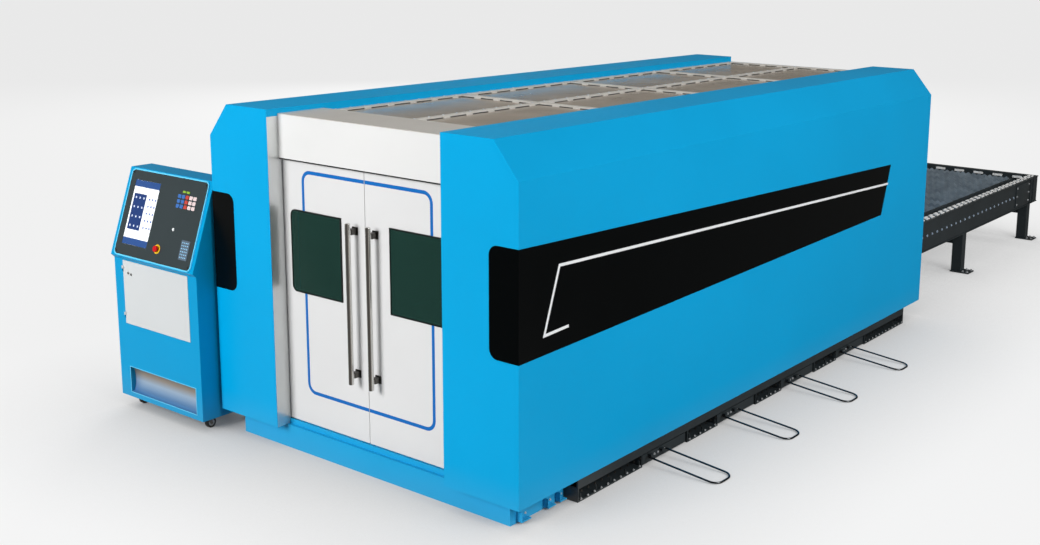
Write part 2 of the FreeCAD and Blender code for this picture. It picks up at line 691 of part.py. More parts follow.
def x_carriage():
    """Plate that rides on the cross rails, with the upright guides of the lift slide."""
    low = BEAM_BOTTOM + CROSS_RAIL_LOW
    shelf_low = low + CROSS_RAIL_PITCH + CARRIAGE_ABOVE
    z = (low - CARRIAGE_BELOW, shelf_low)
    y = (CARRIAGE_FACE, CARRIAGE_FACE + CARRIAGE_PLATE)
    pieces = [box(centred(CARRIAGE_X, CARRIAGE_WIDTH), y, z)]
    for rail in (low, low + CROSS_RAIL_PITCH):
        for shift in (-CROSS_BLOCK_SHIFT, CROSS_BLOCK_SHIFT):
            middle = CARRIAGE_X + shift
            block = box(centred(middle, CROSS_BLOCK_LENGTH), (y[1] - 1, BEAM_FACE - CROSS_BLOCK_GAP),
                        centred(rail, CROSS_BLOCK_HEIGHT))
            slot = box(centred(middle, CROSS_BLOCK_LENGTH + 2), (y[1], BEAM_FACE),
                       centred(rail, CROSS_RAIL + 2 * FIT))
            pieces.append(block.cut(slot))
    for side in (-1, 1):
        inner = CARRIAGE_X + side * (LIFT_WIDTH / 2 + FIT)
        x = sorted((inner, inner + side * LIFT_GUIDE))
        pieces.append(box(x, (y[0] - LIFT_DEPTH - FIT, y[0] + 1), z))
    shelf = box(centred(CARRIAGE_X, CARRIAGE_WIDTH - 2 * SHELF_INSET), (y[0] - SHELF_REACH, y[1]),
                (shelf_low, carriage_top()))
    window = 2 * (SCREW_RADIUS + 2)
    hole = box(centred(CARRIAGE_X, window), centred(screw_y(), window), (shelf_low - 1, carriage_top() + 1))
    pieces.append(shelf.cut(hole))
    return [join(pieces)]


def screw_y():
    """Y of the lift screw, in front of the lift slide's back."""
    return CARRIAGE_FACE - FIT - LIFT_DEPTH / 2


def carriage_top():
    """Top face of the carriage's motor shelf."""
    return BEAM_BOTTOM + CROSS_RAIL_LOW + CROSS_RAIL_PITCH + CARRIAGE_ABOVE + SHELF_THICKNESS


def lift_motor():
    """Motor on the carriage's shelf with the lift screw under it."""
    top = carriage_top()
    front = CARRIAGE_FACE - LIFT_MOTOR_REACH
    body = box(centred(CARRIAGE_X, LIFT_MOTOR), (front, front + LIFT_MOTOR), (top, top + LIFT_MOTOR_HEIGHT))
    upright = [edge for edge in body.Edges if abs(edge.CenterOfMass.z - top - LIFT_MOTOR_HEIGHT / 2) < 1]
    body = body.makeChamfer(LIFT_MOTOR_CORNER, upright)
    screw = cylinder(SCREW_RADIUS, (CARRIAGE_X, screw_y(), top - SCREW_LENGTH), (0, 0, 1), SCREW_LENGTH + 1)
    return [join([body, screw])]


def lift_slide():
    """Slide between the carriage's guides, hollow for the screw, with the head's foot plate."""
    bottom = BEAM_BOTTOM - LIFT_BELOW
    top = carriage_top() - LIFT_ABOVE
    y = (CARRIAGE_FACE - FIT - LIFT_DEPTH, CARRIAGE_FACE - FIT)
    body = box(centred(CARRIAGE_X, LIFT_WIDTH), y, (bottom, top))
    tunnel = cylinder(SCREW_RADIUS + FIT, (CARRIAGE_X, screw_y(), bottom - 1), (0, 0, 1), top - bottom + 2)
    arm = box(centred(CARRIAGE_X, LIFT_WIDTH), (y[0] - LIFT_ARM, y[0] + 1),
              (bottom, carriage_top() - LIFT_ARM_ABOVE))
    return [join([body.cut(tunnel), arm])]


def cutting_head():
    """Turned optics barrel with a focus housing, a clamp to the slide, a nozzle cone and a fibre collar."""
    arm_face = CARRIAGE_FACE - FIT - LIFT_DEPTH - LIFT_ARM
    y = arm_face - HEAD_CLAMP - HEAD_RADIUS
    neck, end = HEAD_STEPS
    profile = [(0, 0), (NOZZLE_TIP, 0), (NOZZLE_ROOT, NOZZLE_LENGTH), (HEAD_RADIUS, NOZZLE_LENGTH),
               (HEAD_RADIUS, neck), (HEAD_NECK, neck), (HEAD_NECK, end), (0, end)]
    corners = [V(CARRIAGE_X + radius, y, NOZZLE_REST_Z + height) for radius, height in profile]
    outline = Part.makePolygon(corners + corners[:1])
    turned = Part.Face(outline).revolve(V(CARRIAGE_X, y, NOZZLE_REST_Z), V(0, 0, 1), 360)
    low, high = HEAD_CLAMP_SPAN
    clamp = box(centred(CARRIAGE_X, HEAD_CLAMP_WIDTH), (y, arm_face),
                (NOZZLE_REST_Z + low, NOZZLE_REST_Z + high))
    return [join([turned, clamp])]


# ---- Covers ------------------------------------------------------------------------------------

def cover_outline():
    """Walk round a side cover's section, from its bottom lip to the drop beside the roof."""
    return [(FOOT_HALF_WIDTH, SKIRT_HEIGHT), (SIDE, SKIRT_HEIGHT), (SIDE, CHAMFER_FOOT),
            (SIDE - CHAMFER_WIDTH, ENCLOSURE_HEIGHT), (OPENING_HALF, ENCLOSURE_HEIGHT),
            (OPENING_HALF, ROOF_TOP)]


def right_side_cover():
    """Folded cover: skirt lip, side, chamfer, top and inner drop."""
    return [prism(folded(cover_outline(), SHEET), "y", (FRONT + SHEET, REAR - SHEET))]


def left_side_cover():
    """Mirror of the right cover, with the collar for the fume duct."""
    cover = mirrored(right_side_cover()[0])
    mouth = -SIDE - DUCT_REACH
    collar = cylinder(DUCT_RADIUS, (mouth, DUCT_Y, DUCT_Z), (1, 0, 0), DUCT_REACH + SHEET / 2)
    bore = cylinder(DUCT_RADIUS - SHEET, (mouth - 1, DUCT_Y, DUCT_Z), (1, 0, 0), DUCT_REACH + SHEET + 2)
    return [join([cover, collar]).cut(bore)]


def right_front_pillar():
    """Front plate of a housing with its bottom flange."""
    outline = [(OPENING_HALF, SKIRT_HEIGHT), (SIDE, SKIRT_HEIGHT), (SIDE, CHAMFER_FOOT),
               (SIDE - CHAMFER_WIDTH, ENCLOSURE_HEIGHT), (OPENING_HALF, ENCLOSURE_HEIGHT)]
    plate = prism(outline, "y", (FRONT, FRONT + SHEET))
    flange = box((OPENING_HALF + JAMB_LIP + FLANGE_GAP, FOOT_HALF_WIDTH - 1), (FRONT + SHEET, DOOR_BACK),
                 (SKIRT_HEIGHT, SKIRT_HEIGHT + SHEET))
    return [join([plate, flange])]


def door_jambs():
    """Angle that lines each side of the door opening."""
    x, y = OPENING_HALF, FRONT + SHEET
    angle = folded([(x, DOOR_FACE - JAMB_REAR_GAP), (x, y), (x + JAMB_LIP, y)], SHEET)
    return both_sides([prism(angle, "z", (SKIRT_HEIGHT, ROOF_TOP))])


def header_panel():
    """Folded white panel over the doors."""
    y = HEADER_FACE
    back = y + HEADER_LIP
    section = folded([(back, HEADER_BOTTOM), (y, HEADER_BOTTOM), (y, HEADER_TOP), (back, HEADER_TOP)], -SHEET)
    return [prism(section, "x", (-OPENING_HALF, OPENING_HALF))]


def door_tracks():
    """Lipped track over the leaves, hung from the header, and the threshold with its guide rib."""
    low = DOOR_TOP + TRACK_GAP
    top = low + TRACK_HEIGHT
    inner, outer = TRACK_CLEAR / 2, TRACK_CLEAR / 2 + TRACK_WALL
    lip = inner - TRACK_LIP
    half = [(-outer, low), (-outer, top), (outer, top), (outer, low), (lip, low), (lip, low + TRACK_WALL),
            (inner, low + TRACK_WALL), (inner, top - TRACK_WALL), (-inner, top - TRACK_WALL),
            (-inner, low + TRACK_WALL), (-lip, low + TRACK_WALL), (-lip, low)]
    reach = (-TRACK_HALF_LENGTH, TRACK_HALF_LENGTH)
    track = prism([(DOOR_MIDDLE + y, z) for y, z in half], "x", reach)
    opening = (-OPENING_HALF, OPENING_HALF)
    hanger = box((opening[0] + HANGER_INSET, opening[1] - HANGER_INSET),
                 (HEADER_FACE + SHEET, DOOR_MIDDLE - outer + 1), (top - HANGER_HEIGHT, top))
    base = SKIRT_HEIGHT
    floor = base + SHEET
    lap = DOOR_FACE - THRESHOLD_LAP
    sill = box(reach, (lap, DOOR_BACK), (floor, floor + THRESHOLD_WALL))
    step = box(opening, (PLINTH_FACE + STEP_SETBACK, lap + 1), (base, DOOR_BOTTOM - STEP_GAP))
    foot = box(opening, (lap, DOOR_BACK), (base, floor + 1))
    rib = box(reach, centred(DOOR_MIDDLE, RIB_THICKNESS), (floor + 1, DOOR_BOTTOM + RIB_REACH))
    return [join([track, hanger]), join([sill, step, foot, rib])]


def rear_wall():
    """Wall at the table end, with the port that the pallets pass through."""
    right = [(OPENING_HALF, ROOF_TOP), (OPENING_HALF, ENCLOSURE_HEIGHT),
             (SIDE - CHAMFER_WIDTH, ENCLOSURE_HEIGHT), (SIDE, CHAMFER_FOOT), (SIDE, SKIRT_HEIGHT)]
    outline = [(-x, z) for x, z in reversed(right)] + right
    wall = prism(outline, "y", (REAR - SHEET, REAR))
    port = box((-BED_INNER - 1, BED_INNER + 1), (REAR - SHEET - 1, REAR + 1), (PORT_BOTTOM, PORT_TOP))
    return [wall.cut(port)]


def right_band():
    """Flat dark band: a tapering side part and a short part round the pillar's corner."""
    low = [(FRONT, BAND_FRONT_BOTTOM), (FRONT + BAND_END_BOTTOM_Y, BAND_END_BOTTOM),
           (FRONT + BAND_END_TOP_Y, BAND_END_TOP), (FRONT, BAND_FRONT_TOP)]
    side = prism(low, "x", (SIDE, SIDE + BAND_PROUD))
    inner = SIDE - BAND_FRONT_WIDTH
    front = box((inner, SIDE + BAND_PROUD), (FRONT - BAND_PROUD, FRONT), (BAND_FRONT_BOTTOM, BAND_FRONT_TOP))
    front = round_edges(front, BAND_RADIUS, lambda middle: abs(middle.x - inner) < 1
                        and abs(middle.y - FRONT + BAND_PROUD / 2) < 0.5)
    return join([side, front])


def roof_section(x):
    """Section of a roof bar: a web with a ledge on each side for the panes."""
    web, ledge = ROOF_BAR / 2, ROOF_BAR / 2 + ROOF_LEDGE
    low, step = ROOF_TOP - ROOF_BAR_HEIGHT, ROOF_TOP - ROOF_BAR_HEIGHT + ROOF_LEDGE_HEIGHT
    return [(x - ledge, low), (x + ledge, low), (x + ledge, step), (x + web, step), (x + web, ROOF_TOP),
            (x - web, ROOF_TOP), (x - web, step), (x - ledge, step)]


def roof_rows():
    """Y of each cross bar of the roof."""
    return spread(HEADER_FACE + SILL_DEPTH + ROOF_BAR / 2, REAR - SHEET - ROOF_BAR / 2, ROOF_ROWS + 1)


def roof_columns():
    """X of each lengthwise bar of the roof."""
    edge = OPENING_HALF - ROOF_BAR / 2
    return (-edge, 0.0, edge)


def roof_frame():
    """Lengthwise and coped cross bars, with the grey sill over the header."""
    keep = box((-OPENING_HALF, OPENING_HALF), (HEADER_FACE + SHEET, REAR - SHEET), (0, ENCLOSURE_HEIGHT))
    rows = roof_rows()
    lengthwise = []
    for x in roof_columns():
        start = rows[0] - ROOF_BAR / 2 - ROOF_LEDGE if x == 0 else HEADER_FACE + HEADER_LIP + SILL_GAP
        lengthwise.append(prism(roof_section(x), "y", (start, REAR - SHEET)).common(keep))
    bars = list(lengthwise)
    columns = roof_columns()
    for y in rows:
        for left, right in zip(columns, columns[1:]):
            bar = prism(roof_section(y), "x", (left + ROOF_BAR / 2, right - ROOF_BAR / 2)).common(keep)
            bars.append(bar.cut(lengthwise))
    sill = box((-OPENING_HALF, OPENING_HALF), (HEADER_FACE, HEADER_FACE + SILL_DEPTH),
               (HEADER_TOP, HEADER_TOP + SILL_THICKNESS))
    riser = box((-OPENING_HALF, OPENING_HALF), (HEADER_FACE + SILL_DEPTH - SHEET, HEADER_FACE + SILL_DEPTH),
                (ROOF_TOP, HEADER_TOP + 1))
    return bars + [join([sill, riser])]


def roof_panes():
    """Smoky panes on the ledges of the roof bars."""
    low = ROOF_TOP - ROOF_BAR_HEIGHT + ROOF_LEDGE_HEIGHT
    inset = ROOF_BAR / 2 + PANE_GAP
    columns, rows = roof_columns(), roof_rows()
    return [box((left + inset, right - inset), (front + inset, rear - inset), (low, low + PANE_THICKNESS))
            for left, right in zip(columns, columns[1:]) for front, rear in zip(rows, rows[1:])]


# ---- Doors -------------------------------------------------------------------------------------

def right_door():
    """Hollow leaf with a window cut-out, a bottom groove and two hangers that slide in the track."""
    x = (DOOR_SPLIT / 2, OPENING_HALF + DOOR_OVERLAP)
    y = (DOOR_FACE, DOOR_BACK)
    z = (DOOR_BOTTOM, DOOR_TOP)
    leaf = box(x, y, z)
    window_top = WINDOW_BOTTOM + WINDOW_HEIGHT
    window = box((WINDOW_INNER + WINDOW_LAP, WINDOW_INNER + WINDOW_WIDTH - WINDOW_LAP), (y[0] - 1, y[1] + 1),
                 (WINDOW_BOTTOM + WINDOW_LAP, window_top - WINDOW_LAP))
    groove = box((x[0] - 1, x[1] + 1), centred(DOOR_MIDDLE, RIB_THICKNESS + 2 * RIB_CLEARANCE),
                 (z[0] - 1, z[0] + GROOVE_DEPTH))
    inside_x = (x[0] + LEAF_RIM, x[1] - LEAF_RIM)
    inside_y = (y[0] + DOOR_SKIN, y[1] + 1)
    pocket = box(inside_x, inside_y, (z[0] + LEAF_FOOT_RIM, WINDOW_BOTTOM - WINDOW_RIM))
    upper = box(inside_x, inside_y, (window_top + WINDOW_RIM, z[1] - LEAF_RIM))
    pieces = [leaf.cut([window, groove, pocket, upper])]
    shoe_z = DOOR_TOP + TRACK_GAP + TRACK_WALL + FIT
    for shoe_x in (x[0] + SHOE_INSET, x[1] - SHOE_INSET):
        pieces.append(box(centred(shoe_x, SHOE_LENGTH), centred(DOOR_MIDDLE, SHOE_WIDTH),
                          (shoe_z, shoe_z + SHOE_HEIGHT)))
        pieces.append(box(centred(shoe_x, STEM_LENGTH), centred(DOOR_MIDDLE, STEM_WIDTH),
                          (DOOR_TOP - 1, shoe_z + 1)))
    return join(pieces)


def right_window():
    """Pane on the face of the leaf, with rounded outer corners."""
    outer = WINDOW_INNER + WINDOW_WIDTH
    pane = box((WINDOW_INNER, outer), (DOOR_FACE - WINDOW_THICKNESS, DOOR_FACE),
               (WINDOW_BOTTOM, WINDOW_BOTTOM + WINDOW_HEIGHT))
    return round_edges(pane, WINDOW_RADIUS, lambda middle: abs(middle.x - outer) < 1
                       and abs(middle.y - DOOR_FACE + WINDOW_THICKNESS / 2) < 0.5)


def right_handle():
    """Upright tube on two square stand-offs."""
    y = DOOR_FACE - HANDLE_REACH
    pieces = [cylinder(HANDLE_RADIUS, (HANDLE_OFFSET, y, HANDLE_BOTTOM), (0, 0, 1), HANDLE_LENGTH)]
    for z in (HANDLE_BOTTOM + STANDOFF_INSET, HANDLE_BOTTOM + HANDLE_LENGTH - STANDOFF_INSET):
        pieces.append(box(centred(HANDLE_OFFSET, STANDOFF_SIZE), (y, DOOR_FACE), centred(z, STANDOFF_SIZE)))
    return join(pieces)


# ---- Pallets -----------------------------------------------------------------------------------

def slat_places(centre):
    """Y of each support slat of a pallet."""
    reach = PALLET_LENGTH - 2 * SLAT_END_MARGIN
    count = int(reach // SLAT_PITCH) + 1
    start = centre - (count - 1) * SLAT_PITCH / 2
    return [start + index * SLAT_PITCH for index in range(count)]


def pallet_bottom(rail_top):
    """Underside of the tubes of a pallet on rails of a given height."""
    return rail_top + FIT + PALLET_GROUND


def slat_floor(rail_top):
    """Underside of the slats of a pallet on rails of a given height."""
    return pallet_bottom(rail_top) + CROSS_TUBE_HEIGHT + SLAT_SEAT


def pallet_frame(centre, rail_top):
    """Side tubes with wheels and notched combs, end bars and cross tubes: one welded frame as its pieces."""
    y = centred(centre, PALLET_LENGTH)
    bottom = pallet_bottom(rail_top)
    x = (PALLET_HALF_WIDTH - PALLET_BAR, PALLET_HALF_WIDTH)
    bar = hollow(x, y, (bottom, bottom + PALLET_BAR_HEIGHT), PALLET_WALL, "y")
    wheel_x = x[1] - PALLET_WHEEL_WIDTH - PALLET_WHEEL_SIDE
    wheel_z = rail_top + FIT + PALLET_WHEEL_RADIUS
    wheels = []
    for wheel_y in spread(y[0] + PALLET_WHEEL_INSET, y[1] - PALLET_WHEEL_INSET, PALLET_WHEELS):
        wheels.append(cylinder(PALLET_WHEEL_RADIUS, (wheel_x, wheel_y, wheel_z), (1, 0, 0),
                               PALLET_WHEEL_WIDTH))
    side = [join([bar] + wheels)]
    comb_x = (x[0] - COMB_WALL, x[0])
    slat_bottom = slat_floor(rail_top)
    comb_top = slat_bottom + SLAT_HEIGHT * COMB_SHARE
    comb = [(y[0], bottom), (y[1], bottom), (y[1], comb_top)]
    half = SLAT_WALL / 2 + SLAT_SIDE_FIT
    for place in reversed(slat_places(centre)):
        comb += [(place + half, comb_top), (place + half, slat_bottom), (place - half, slat_bottom),
                 (place - half, comb_top)]
    comb.append((y[0], comb_top))
    side.append(prism(comb, "x", comb_x))
    solids = both_sides(side)
    reach = x[0] - COMB_WALL
    for place in spread(y[0] + CROSS_TUBE_WIDTH / 2, y[1] - CROSS_TUBE_WIDTH / 2, CROSS_TUBE_COUNT):
        solids.append(hollow((-reach, reach), centred(place, CROSS_TUBE_WIDTH),
                             (bottom, bottom + CROSS_TUBE_HEIGHT), PALLET_WALL, "x"))
    return solids


def pallet_slats(centre, rail_top):
    """Upright slats with a serrated top edge, set in the notches of the combs."""
    low = slat_floor(rail_top)
    high = low + SLAT_HEIGHT
    reach = PALLET_HALF_WIDTH - PALLET_BAR - SLAT_END_FIT
    count = int(2 * reach // SLAT_TOOTH)
    tooth = 2 * reach / count
    outline = [(reach, low)]
    for index in range(count):
        outline.append((reach - index * tooth, high - SLAT_TOOTH_DEPTH))
        outline.append((reach - (index + 0.5) * tooth, high))
    outline += [(-reach, high - SLAT_TOOTH_DEPTH), (-reach, low)]
    return [prism(outline, "y", centred(place, SLAT_WALL)) for place in slat_places(centre)]


def pallet_rails():
    """Upper and lower rail on each side, from the bed to the far end of the table."""
    y = (BED_FRONT + PALLET_RAIL_START, TABLE_FAR - TABLE_END_RAIL)
    x = (BED_INNER - PALLET_RAIL_WIDTH, BED_INNER)
    tops = (UPPER_RAIL_TOP, LOWER_RAIL_TOP)
    return both_sides([box(x, y, (top - PALLET_RAIL_HEIGHT, top)) for top in tops])


# ---- Exchange table ----------------------------------------------------------------------------

def table_frame():
    """Hollow side beams, an end plate on each, and the end rail."""
    y = (REAR, TABLE_FAR - TABLE_END_RAIL)
    beam = hollow((BED_INNER, TABLE_HALF_WIDTH), y, (TABLE_BEAM_BOTTOM, TABLE_BEAM_TOP), TABLE_WALL, "y")
    post = box((BED_INNER, TABLE_HALF_WIDTH), (y[1], TABLE_FAR), (TABLE_BEAM_BOTTOM, TABLE_BEAM_TOP))
    end = hollow((-BED_INNER, BED_INNER), (y[1], TABLE_FAR),
                 (TABLE_BEAM_TOP - TABLE_END_RAIL_HEIGHT, TABLE_BEAM_TOP), TABLE_WALL, "x")
    return both_sides([beam, post]) + [end]


def table_legs():
    """Square legs on drilled foot plates, tied across in pairs."""
    solids = []
    for place in LEG_PLACES:
        y = centred(FRONT + place, LEG_SIZE)
        x = centred(LEG_X, LEG_SIZE)
        leg = hollow(x, y, (FOOT_PLATE, TABLE_BEAM_BOTTOM), TABLE_WALL, "z")
        plate = box((x[0], x[0] + FOOT_PLATE_LENGTH), centred(FRONT + place, FOOT_PLATE_WIDTH),
                    (0, FOOT_PLATE))
        plate = plate.cut(cylinder(TABLE_ANCHOR_RADIUS, (LEG_X + TABLE_ANCHOR_SHIFT, FRONT + place, -1),
                                   (0, 0, 1), FOOT_PLATE + 2))
        solids += both_sides([leg, plate])
        tie = hollow((-x[0], x[0]), centred(FRONT + place, LEG_TIE_HEIGHT),
                     (LEG_TIE_BOTTOM, LEG_TIE_BOTTOM + LEG_TIE_HEIGHT), TABLE_WALL, "x")
        solids.append(tie)
    return solids


def drive_shaft():
    """Cross shaft at the far end, with a sprocket for each chain."""
    reach = BED_INNER - SHAFT_END_GAP
    pieces = [cylinder(SHAFT_RADIUS, (-reach, CHAIN_REAR_Y, CHAIN_Z), (1, 0, 0), 2 * reach)]
    for side in (-1, 1):
        start = side * CHAIN_X - CHAIN_WIDTH / 2
        pieces.append(cylinder(SPROCKET_RADIUS, (start, CHAIN_REAR_Y, CHAIN_Z), (1, 0, 0), CHAIN_WIDTH))
    return [join(pieces)]


def drive_chains():
    """Chain loop on each side, with its idler at the door end and the bearings of the drive shaft."""
    inner = SPROCKET_RADIUS + FIT
    outer = inner + CHAIN_THICKNESS
    x = centred(CHAIN_X, CHAIN_WIDTH)
    y = (CHAIN_FRONT_Y, CHAIN_REAR_Y)

    def racetrack(radius, span):
        width = span[1] - span[0]
        ends = [cylinder(radius, (span[0], place, CHAIN_Z), (1, 0, 0), width) for place in y]
        return join([box(span, y, centred(CHAIN_Z, 2 * radius))] + ends)

    loop = racetrack(outer, x).cut(racetrack(inner, (x[0] - 1, x[1] + 1)))
    idler = cylinder(inner, (x[0], y[0], CHAIN_Z), (1, 0, 0), BED_INNER - x[0])
    near = BED_INNER - BEARING_WIDTH
    bearing = box((near, BED_INNER), centred(y[1], BEARING_LENGTH),
                  (CHAIN_Z - BEARING_DROP, LOWER_RAIL_TOP - PALLET_RAIL_HEIGHT))
    bore = cylinder(SHAFT_RADIUS + SHAFT_FIT, (near - 2, y[1], CHAIN_Z), (1, 0, 0), BEARING_BORE + 2)
    return both_sides([join([loop, idler]), bearing.cut(bore)])


def table_gearmotor():
    """Gearbox round the drive shaft, its motor under it and its torque arm against the far leg tie."""
    z = centred(CHAIN_Z, GEARBOX_HEIGHT)
    gearbox = box(centred(0, GEARBOX_SIZE), centred(CHAIN_REAR_Y, GEARBOX_SIZE), z)
    motor = cylinder(GEARMOTOR_RADIUS, (0, CHAIN_REAR_Y, z[0] + 1), (0, 0, -1), GEARMOTOR_LENGTH)
    tie_face = FRONT + LEG_PLACES[-1] - LEG_TIE_HEIGHT / 2
    arm = box(centred(0, TORQUE_ARM), (CHAIN_REAR_Y, tie_face), centred(z[0], TORQUE_ARM))
    bore = cylinder(SHAFT_RADIUS + SHAFT_FIT, (-GEARBOX_SIZE, CHAIN_REAR_Y, CHAIN_Z), (1, 0, 0),
                    2 * GEARBOX_SIZE)
    return [join([gearbox, motor, arm]).cut(bore)]


# ---- Console -----------------------------------------------------------------------------------

def tilt(shape):
    """Move a shape from the upright panel plane to the console's sloping face."""
    turned = shape.copy()
    turned.rotate(V(0, 0, 0), V(1, 0, 0), -PANEL_TILT)
    turned.translate(V(CONSOLE_LEFT, CONSOLE_FACE - PANEL_NOSE, CONSOLE_SHOULDER + PANEL_NOSE))
    return turned


def console_body():
    """Cabinet with a leaning head, an opening behind its door and a recess near the floor."""
    nose = (CONSOLE_FACE - PANEL_NOSE, CONSOLE_SHOULDER + PANEL_NOSE)
    lean = math.radians(PANEL_TILT)
    peak = (nose[0] + PANEL_LENGTH * math.sin(lean), nose[1] + PANEL_LENGTH * math.cos(lean))
    outline = [(CONSOLE_FACE, CONSOLE_BOTTOM), (CONSOLE_FACE, CONSOLE_SHOULDER), nose, peak,
               (peak[0] + HEAD_TOP_DEPTH, peak[1]), (CONSOLE_BACK, HEAD_BACK_Z),
               (CONSOLE_BACK, CONSOLE_BOTTOM)]
    wall = CONSOLE_WALL
    inner = folded(outline + outline[:2], -wall)
    inner = inner[len(outline) + 2:][::-1][1:len(outline) + 1]
    shell = prism(outline, "x", (CONSOLE_LEFT, CONSOLE_RIGHT))
    shell = shell.cut(prism(inner, "x", (CONSOLE_LEFT + wall, CONSOLE_RIGHT - wall)))
    door = box((CONSOLE_LEFT + CONSOLE_DOOR_LEFT, CONSOLE_RIGHT - CONSOLE_DOOR_RIGHT),
               (CONSOLE_FACE - 1, CONSOLE_FACE + wall + 1), (CONSOLE_DOOR_BOTTOM, CONSOLE_DOOR_TOP))
    x = (CONSOLE_LEFT + NICHE_LEFT, CONSOLE_RIGHT - NICHE_RIGHT)
    z = (NICHE_BOTTOM, NICHE_TOP)
    tray = box(x, (CONSOLE_FACE, CONSOLE_FACE + NICHE_DEPTH), z)
    hole = box((x[0] + wall, x[1] - wall), (CONSOLE_FACE - 1, CONSOLE_FACE + NICHE_DEPTH - wall),
               (z[0] + wall, z[1] - wall))
    stop = stop_hole()
    body = shell.cut(door).fuse(tray).cut(hole).cut(tilt(stop))
    knuckles = []
    for low in hinge_places():
        start = low - FIT - KNUCKLE_LENGTH
        z = (start, start + KNUCKLE_LENGTH)
        knuckles.append(box((HINGE_X - HINGE_PAD, HINGE_X + KNUCKLE_HALF), centred(HINGE_Y, 2 * KNUCKLE_HALF),
                            z))
        knuckles.append(box((HINGE_X - HINGE_PAD, HINGE_X), (HINGE_Y, CONSOLE_FACE), z))
        knuckles.append(cylinder(HINGE_PIN_RADIUS, (HINGE_X, HINGE_Y, start), (0, 0, 1), 2 * KNUCKLE_LENGTH))
    return [join([body] + knuckles)]


def stop_hole():
    """Hole for the stem of the stop button, in the upright panel plane."""
    return cylinder(STOP_STEM + FIT, (PANEL_MARGIN + STOP_LEFT, -STOP_REACH, STOP_UP), (0, 1, 0),
                    2 * STOP_REACH)


def hinge_places():
    """Lower end of the door's knuckle in each console hinge."""
    return (CONSOLE_DOOR_BOTTOM + KNUCKLE_INSET, CONSOLE_DOOR_TOP - KNUCKLE_INSET)


def console_door():
    """Pan-shaped door in the front opening, with a knuckle for each hinge pin."""
    gap = CONSOLE_DOOR_GAP
    x = (CONSOLE_LEFT + CONSOLE_DOOR_LEFT + gap, CONSOLE_RIGHT - CONSOLE_DOOR_RIGHT - gap)
    z = (CONSOLE_DOOR_BOTTOM + gap, CONSOLE_DOOR_TOP - gap)
    y = (CONSOLE_FACE - CONSOLE_DOOR_PROUD, CONSOLE_FACE - CONSOLE_DOOR_PROUD + CONSOLE_DOOR_THICKNESS)
    wall = CONSOLE_WALL
    inside = box((x[0] + wall, x[1] - wall), (y[0] + wall, y[1] + 1), (z[0] + wall, z[1] - wall))
    pan = box(x, y, z).cut(inside)
    knuckles = []
    for low in hinge_places():
        knuckles.append(cylinder(KNUCKLE_RADIUS, (HINGE_X, HINGE_Y, low), (0, 0, 1), KNUCKLE_LENGTH))
        knuckles.append(box((HINGE_X, HINGE_X + HINGE_PAD), (HINGE_Y, y[0]), (low, low + KNUCKLE_LENGTH)))
    bores = [cylinder(HINGE_PIN_RADIUS + HINGE_PIN_FIT, (HINGE_X, HINGE_Y, low - 1), (0, 0, 1),
                      KNUCKLE_LENGTH + 2) for low in hinge_places()]
    return [join([pan] + knuckles).cut(bores)]


def console_panel():
    """Dark control panel on the sloping face, with a window for the screen."""
    x = (PANEL_MARGIN, CONSOLE_WIDTH - PANEL_MARGIN)
    z = (PANEL_END_MARGIN, PANEL_LENGTH - PANEL_END_MARGIN)
    panel = box(x, (-PANEL_THICKNESS, 0), z)
    panel = round_edges(panel, PANEL_RADIUS, lambda middle: abs(middle.y + PANEL_THICKNESS / 2) < 0.5)
    left, low = x[0] + SCREEN_LEFT, SCREEN_BOTTOM
    window = box((left, left + SCREEN_WIDTH), (-PANEL_THICKNESS - 1, 1), (low, low + SCREEN_HEIGHT))
    return [tilt(panel.cut([window, stop_hole()]))]


def console_screen():
    """Screen pane in the panel's window."""
    left, low = PANEL_MARGIN + SCREEN_LEFT + FIT, SCREEN_BOTTOM + FIT
    pane = box((left, left + SCREEN_WIDTH - 2 * FIT), (-SCREEN_THICKNESS, 0),
               (low, low + SCREEN_HEIGHT - 2 * FIT))
    return [tilt(pane)]


def stop_button():
    """Mushroom push button with its stem through the panel."""
    x, z = STOP_LEFT + PANEL_MARGIN, STOP_UP
    face = -PANEL_THICKNESS - STOP_TRAVEL - STOP_SPARE
    cap = cylinder(STOP_RADIUS, (x, face - STOP_CAP, z), (0, 1, 0), STOP_CAP)
    stem = cylinder(STOP_STEM, (x, face - 1, z), (0, 1, 0), STOP_REACH)
    return [tilt(join([cap, stem]))]


def caster_places():
    """Swivel axis of each caster: two at the front, two at the rear."""
    left, right = CONSOLE_LEFT + CASTER_INSET_X, CONSOLE_RIGHT - CASTER_INSET_X
    front, rear = CONSOLE_FACE + CASTER_INSET_Y, CONSOLE_BACK - CASTER_INSET_Y
    return [(left, front), (right, front), (left, rear), (right, rear)]


def caster_fork(place):
    """Fork with its top plate and axle."""
    x, y = place
    axle_y = y + CASTER_TRAIL
    top = CONSOLE_BOTTOM - FIT
    half = CASTER_WHEEL_WIDTH / 2 + CASTER_SIDE_GAP
    root = top - CASTER_PLATE + 1
    foot = CASTER_WHEEL_RADIUS - CASTER_LEG_FOOT
    plate = box(centred(x, CASTER_TOP), centred(y, CASTER_TOP), (top - CASTER_PLATE, top))
    pieces = [plate]
    for side in (-1, 1):
        span = sorted((x + side * half, x + side * (half + CASTER_LEG)))
        outline = [(y - CASTER_LEG_FRONT, root), (axle_y - CASTER_LEG_FOOT, foot),
                   (axle_y + CASTER_LEG_FOOT, foot), (y + CASTER_LEG_REAR, root)]
        pieces.append(prism(outline, "x", span))
    length = 2 * (half + CASTER_LEG)
    pieces.append(cylinder(CASTER_AXLE_RADIUS, (x - length / 2, axle_y, CASTER_WHEEL_RADIUS), (1, 0, 0),
                           length))
    return join(pieces)


